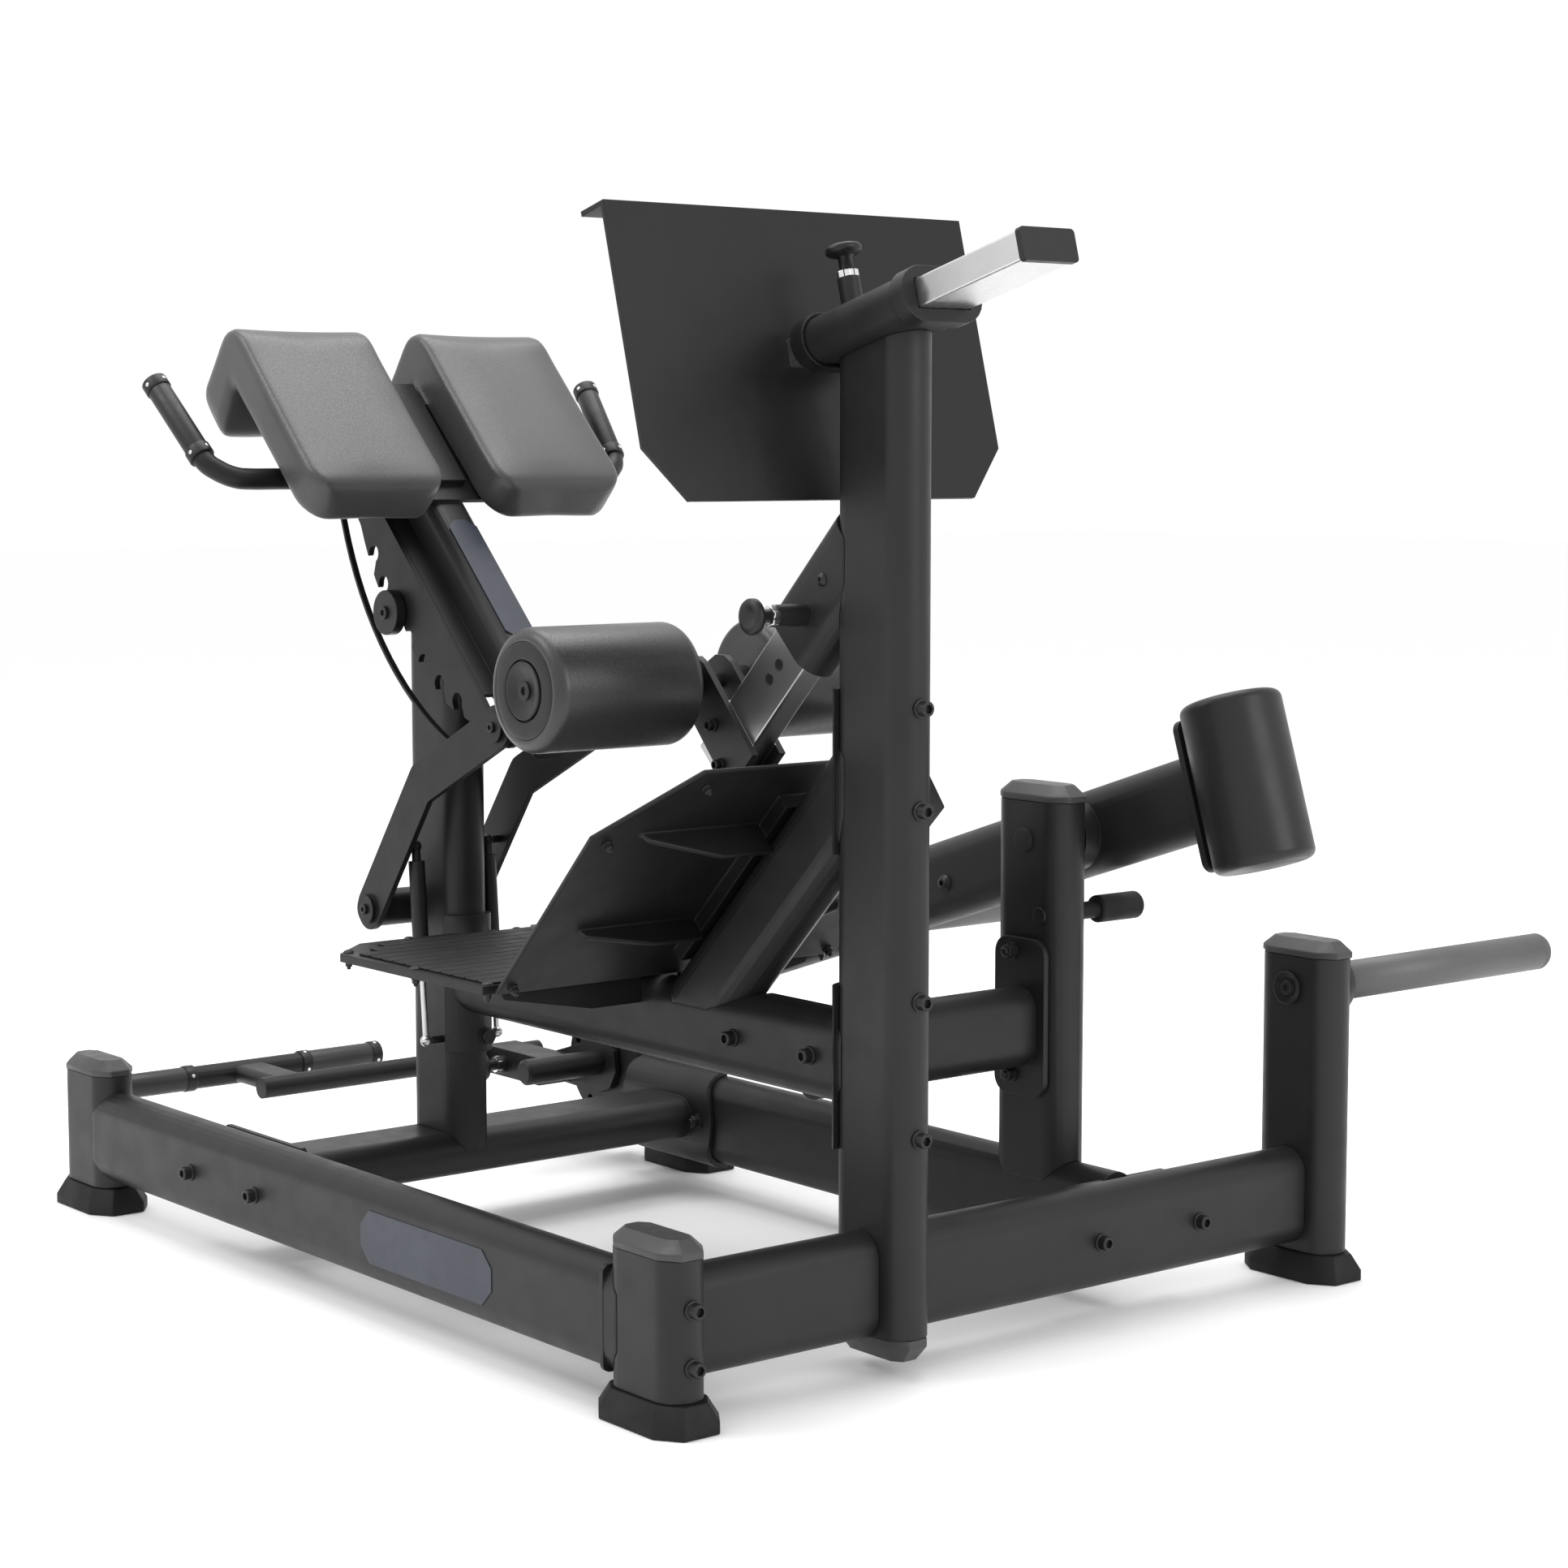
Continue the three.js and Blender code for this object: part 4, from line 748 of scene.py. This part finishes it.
def frame_fasteners():
    fasteners("rail_screws", socket_screw, 11, MACHINE,
              [(-351, 995, 105, LEFT), (-351, 827, 105, LEFT), (-321, -62.5, 137, FRONT),
               (-321, -62.5, 73, FRONT), (321, -30, 105, FRONT), (490, -30, 105, FRONT)], "frame")
    fasteners("upright_screws", socket_screw, 11, MACHINE,
              [(0, -62.5, z, FRONT) for z in (767, 652, 436, 279)], "frame")
    fasteners("beam_screws", socket_screw, 11, MACHINE,
              [(-30, 241, 356, LEFT), (-30, 96, 356, LEFT)], "frame")
    fasteners("bracket_nuts", hex_nut, 10, MACHINE,
              [(366.5, 180, 430, LEFT), (366.5, 180, 274, LEFT), (366.5, 832, 106, LEFT)], "frame")
    fasteners("pad_post_bolt", hex_bolt, 11, MACHINE, [(12, 836, 269, FRONT)], "frame")
    rim = [(x * side, y) for side in (-1, 1)
           for x, y in ((257, 742), (262, 577), (258, 424), (137, 790), (20, 772))]
    fasteners("platform_screws", dome_screw, 7, MACHINE, [(x, y, PLATFORM_TOP, UP) for x, y in rim], "frame")
    fasteners("platform_nuts", hex_nut, 5, MACHINE,
              [(x, y, PLATFORM_BOTTOM, DOWN) for x, y in rim if abs(x) > 30], "frame")
    back = [(x * side, y) for side in (-1, 1) for x, y in ((242, -18), (240, -286), (146, -376))]
    fasteners("foot_plate_nuts", hex_nut, 6, SLOPE,
              [(x, y, SLOPED_PLATE_BOTTOM, DOWN) for x, y in back], "frame")
    fasteners("foot_plate_screws", dome_screw, 7, SLOPE,
              [(x, y, SLOPED_PLATE_TOP, UP) for x, y in back], "frame")
    fasteners("storage_horn_washer", dished_washer, 21.5, MACHINE, [(683, 4, 373, LEFT)], "frame",
              PLATE_PAINT)
    fasteners("storage_horn_screw", round_screw, 9, MACHINE, [(681, 4, 373, LEFT)], "frame")
    fasteners("lever_post_plugs", plain_disc, 11, MACHINE, [(375, 138, 478, LEFT)], "frame", PLATE_PAINT)
    fasteners("lever_side_screws", dome_screw, 12, MACHINE, [(465, 418, 482, LEFT)], "lever")
    fasteners("ankle_tube_screw", dome_screw, 8, MACHINE, [(-30, 75, 907, LEFT)], "frame")


def moving_fasteners():
    fork = [(side * 25, y, z, way) for _, side, way in SIDES for y, z in ((284, 727), (270, 681))]
    fasteners("fork_screws", socket_screw, 8, MACHINE, fork, "ankle_carriage")
    fasteners("arm_hub_screws", round_screw, 7, MACHINE,
              [(side * 90, y, z, way) for _, side, way in SIDES for y, z in ((976, 435), (662, 703))],
              "pad_arms")
    fasteners("lock_pin_screws", round_screw, 9, MACHINE,
              [(side * 84, 925, 839, way) for _, side, way in SIDES], "frame")
    # The holes are flat black discs on the bar: painted shade where the holes' depth would be dark.
    fasteners("ankle_slide_holes", hole_rim_painted_shade, 6.5, MACHINE,
              [(-17, 187, 787, LEFT), (-17, 169, 805, LEFT)], "ankle_carriage", BLACK_PLASTIC)
    for place, side, way in SIDES:
        fasteners(f"roller_screw_{place}", round_screw, 11, SLOPE,
                  [(side * 266, ROLLER["y"], ROLLER["z"], way)], f"roller_{place}_body")


# ---- pull pins -------------------------------------------------------------------------------------

def pull_pin(name, node, axes, stem, knob, nut, body, host):
    """Pull knob with a domed cap, its stem and the bright lock nut on the housing.

    The stem, the knob and the nut start at those heights along the axes' Z.
    """
    bm = bmesh.new()
    turned(bm, [(stem - 1, 8.2), (knob - 2, 8.2), (knob, 12), (knob + 2, 18), (knob + 4.5, 21),
                (knob + 9, 21), (knob + 11.5, 19.5), (knob + 13, 15), (knob + 13, 12.5),
                (knob + 12.4, 11.5), (knob + 12.4, 2)], axes, 48)
    dressed(link(f"{name}_knob", bm), BLACK_PLASTIC, body, "black_plastic", node)
    bm = bmesh.new()
    turned(bm, [(stem - 12, 5), (stem - 12, 3.9), (stem, 3.9)], axes, 20)
    turned(bm, [(nut, 9), (nut, 13.4, "hex"), (nut + 7.4, 13.4, "hex"), (nut + 8.3, 11), (nut + 8.3, 8.6)],
           axes, 36)
    lock = link(f"{name}_lock_nut", bm)
    dressed(lock, BRIGHT_STEEL, host, "slide_steel")
    bevelled(lock, 0.4, 1, 40)


def pull_pins():
    pull_pin("upper_pin", "upper_pull_pin", facing(HEAD, 0, 50, 0, UP), 73, 90, 64.5, "upper_pin", "frame")
    pull_pin("ankle_pin", "ankle_pull_pin", facing(SLOPE, 0, -538, 686.6, LEFT), 85, 100, 76, "ankle_pin",
             "frame")
    pull_pin("lever_pin", "t_pull_pin", facing(DRUM, 0, 167, -20, LEFT), -319, -304, -328, "pull_lever_pin",
             "pull_lever")


# ---- weights and horns -----------------------------------------------------------------------------

def counterweight():
    bm = bmesh.new()
    half_height = 104.3
    turned(bm, rounded(62.4, -half_height, half_height, 11, 8), facing(LEVER, 0, -277.2, 0, UP), 96)
    dressed(link("counterweight_slug", bm), WEIGHT_COAT, "lever", "counterweight_coat", "counterweight")


def horn(name, body, node):
    """Weight-plate sleeve along X with a grooved end cap, standing out of a black flange."""
    low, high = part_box(node)
    length = (high.x - low.x) / MM
    axes = Matrix.Translation(Vector((low.x, (low.y + high.y) / 2, (low.z + high.z) / 2))) @ TO_X
    bm = bmesh.new()
    turned(bm, [(15, 24.8), (length - 14, 24.8), (length - 13.4, 24.1), (length - 12.8, 24.8),
                (length - 7, 24.8), (length - 3, 23), (length - 0.5, 18.5), (length, 9),
                (length - 1, 7)], axes, 64)
    dressed(link(f"{name}_sleeve", bm), HORN_STEEL, body, "horn_steel", node)
    bm = bmesh.new()
    turned(bm, [(0, 39.2), (1, 40), (17.5, 40), (19.2, 38.6), (19.6, 36), (19.6, 27.2), (18.4, 26.4),
                (18.4, 24)], axes, 64)
    dressed(link(f"{name}_flange", bm), BLACK_PLASTIC, body, "black_plastic")


def horns():
    horn("storage", "frame", "storage_horn")
    horn("lever", "lever", "lever_weight_horn")


# ---- platform mat and badges -----------------------------------------------------------------------

TREAD = {"front": 421.0, "rear": 772, "half": 258, "clipped_from": 712, "clip": 1.05, "top": 423.0}
RIB_PITCH = 27.0
RIB_WIDTH = 24.6


def grooved_mat():
    """Rubber tread on the platform: ribs along X that get shorter towards the clipped rear corners."""
    bm = bmesh.new()
    y = TREAD["front"]
    while y + RIB_WIDTH < TREAD["rear"]:
        half = TREAD["half"]
        if y >= TREAD["clipped_from"]:
            half -= (y + RIB_WIDTH - TREAD["clipped_from"]) * TREAD["clip"]
        outline = [(-half, y), (half, y), (half, y + RIB_WIDTH), (-half, y + RIB_WIDTH)]
        prism(bm, outline, PLATFORM_TOP, TREAD["top"], MACHINE)
        y += RIB_PITCH
    mat = link("platform_tread", bm, smooth=False)
    dressed(mat, MAT_RUBBER, "frame", "rubber")
    bevelled(mat, 0.9, 2)


def lozenge(name, axes, length, width, body):
    """Plain name plate with clipped corners."""
    clip = width * 0.3
    half, side = length / 2, width / 2
    outline = [(-half, clip - side), (clip - half, -side), (half - clip, -side), (half, clip - side),
               (half, side - clip), (half - clip, side), (clip - half, side), (-half, side - clip)]
    bm = bmesh.new()
    prism(bm, outline, -0.2, 0.9, axes)
    dressed(link(name, bm, smooth=False), BADGE, body, "black_plastic")


def badges():
    side = facing(MACHINE, -351, 423, 104.5, LEFT) @ QUARTER_TURN
    lozenge("rail_badge", side, 286, 66, "frame")
    top = PAD @ Matrix.Translation(Vector((0, 225, 35.2)) * MM) @ QUARTER_TURN
    lozenge("pad_tube_badge", top, 212, 43, "pad_frame")


# ---- stage -----------------------------------------------------------------------------------------

def material_of_floor():
    floor = Finish("studio_floor", (0.97, 0.97, 0.97), 0.6)
    floor.feed("Roughness", floor.remap(floor.noise(3.0, 2.0), 0.55, 0.65))
    return floor.material


FLOOR_REACH = 30.0
FLOOR_DROP = 0.0005    # keeps the floor just under the feet's soles
SKY_STRENGTH = 1.02


def studio():
    """A plain pale floor under an even white sky."""
    mesh = bpy.data.meshes.new("floor")
    corners = [(x * FLOOR_REACH, y * FLOOR_REACH, 0) for x, y in ((-1, -1), (1, -1), (1, 1), (-1, 1))]
    mesh.from_pydata(corners, [], [(0, 1, 2, 3)])
    floor = bpy.data.objects.new("floor", mesh)
    floor.location.z = -FLOOR_DROP
    mesh.materials.append(material_of_floor())
    bpy.context.scene.collection.objects.link(floor)
    world = bpy.data.worlds.new("studio")
    world.use_nodes = True
    sky = world.node_tree.nodes["Background"]
    sky.inputs["Color"].default_value = (1, 1, 1, 1)
    sky.inputs["Strength"].default_value = SKY_STRENGTH
    bpy.context.scene.world = world
    bpy.context.scene.view_settings.view_transform = "Standard"


def area_light(name, place, target, size, power):
    """A square lamp that looks at a target, in metres and watts."""
    light = bpy.data.lights.new(name, "AREA")
    light.shape = "RECTANGLE"
    light.size = light.size_y = size
    light.energy = power
    obj = bpy.data.objects.new(name, light)
    obj.location = place
    obj.rotation_euler = (Vector(target) - Vector(place)).to_track_quat("-Z", "Y").to_euler()
    bpy.context.scene.collection.objects.link(obj)


def lights():
    centre = (0, 0, 0.6)
    area_light("key", (-3.0, 1.2, 3.6), centre, 2.0, 60)
    area_light("fill", (0.6, -4.4, 2.2), centre, 2.2, 55)
    area_light("top", (0.2, 0.6, 4.2), centre, 3.0, 110)


CAMERA_PLACE = (-2346, -2734, 1046)    # millimetres in the MACHINE axes
CAMERA_TURN = (84.16, 0, -38.83)       # degrees
CAMERA_LENS = 73.5
CAMERA_SENSOR = 36.0


def camera():
    data = bpy.data.cameras.new("camera")
    data.lens = CAMERA_LENS
    data.sensor_width = CAMERA_SENSOR
    obj = bpy.data.objects.new("camera", data)
    obj.location = spot(MACHINE, *CAMERA_PLACE)
    obj.rotation_euler = [math.radians(angle) for angle in CAMERA_TURN]
    bpy.context.scene.collection.objects.link(obj)
    bpy.context.scene.camera = obj


camera()
studio()
lights()
dress_frame()
hip_pads()
ankle_rollers()
pad_handles()
pull_grips()
frame_fasteners()
moving_fasteners()
pull_pins()
counterweight()
horns()
grooved_mat()
badges()
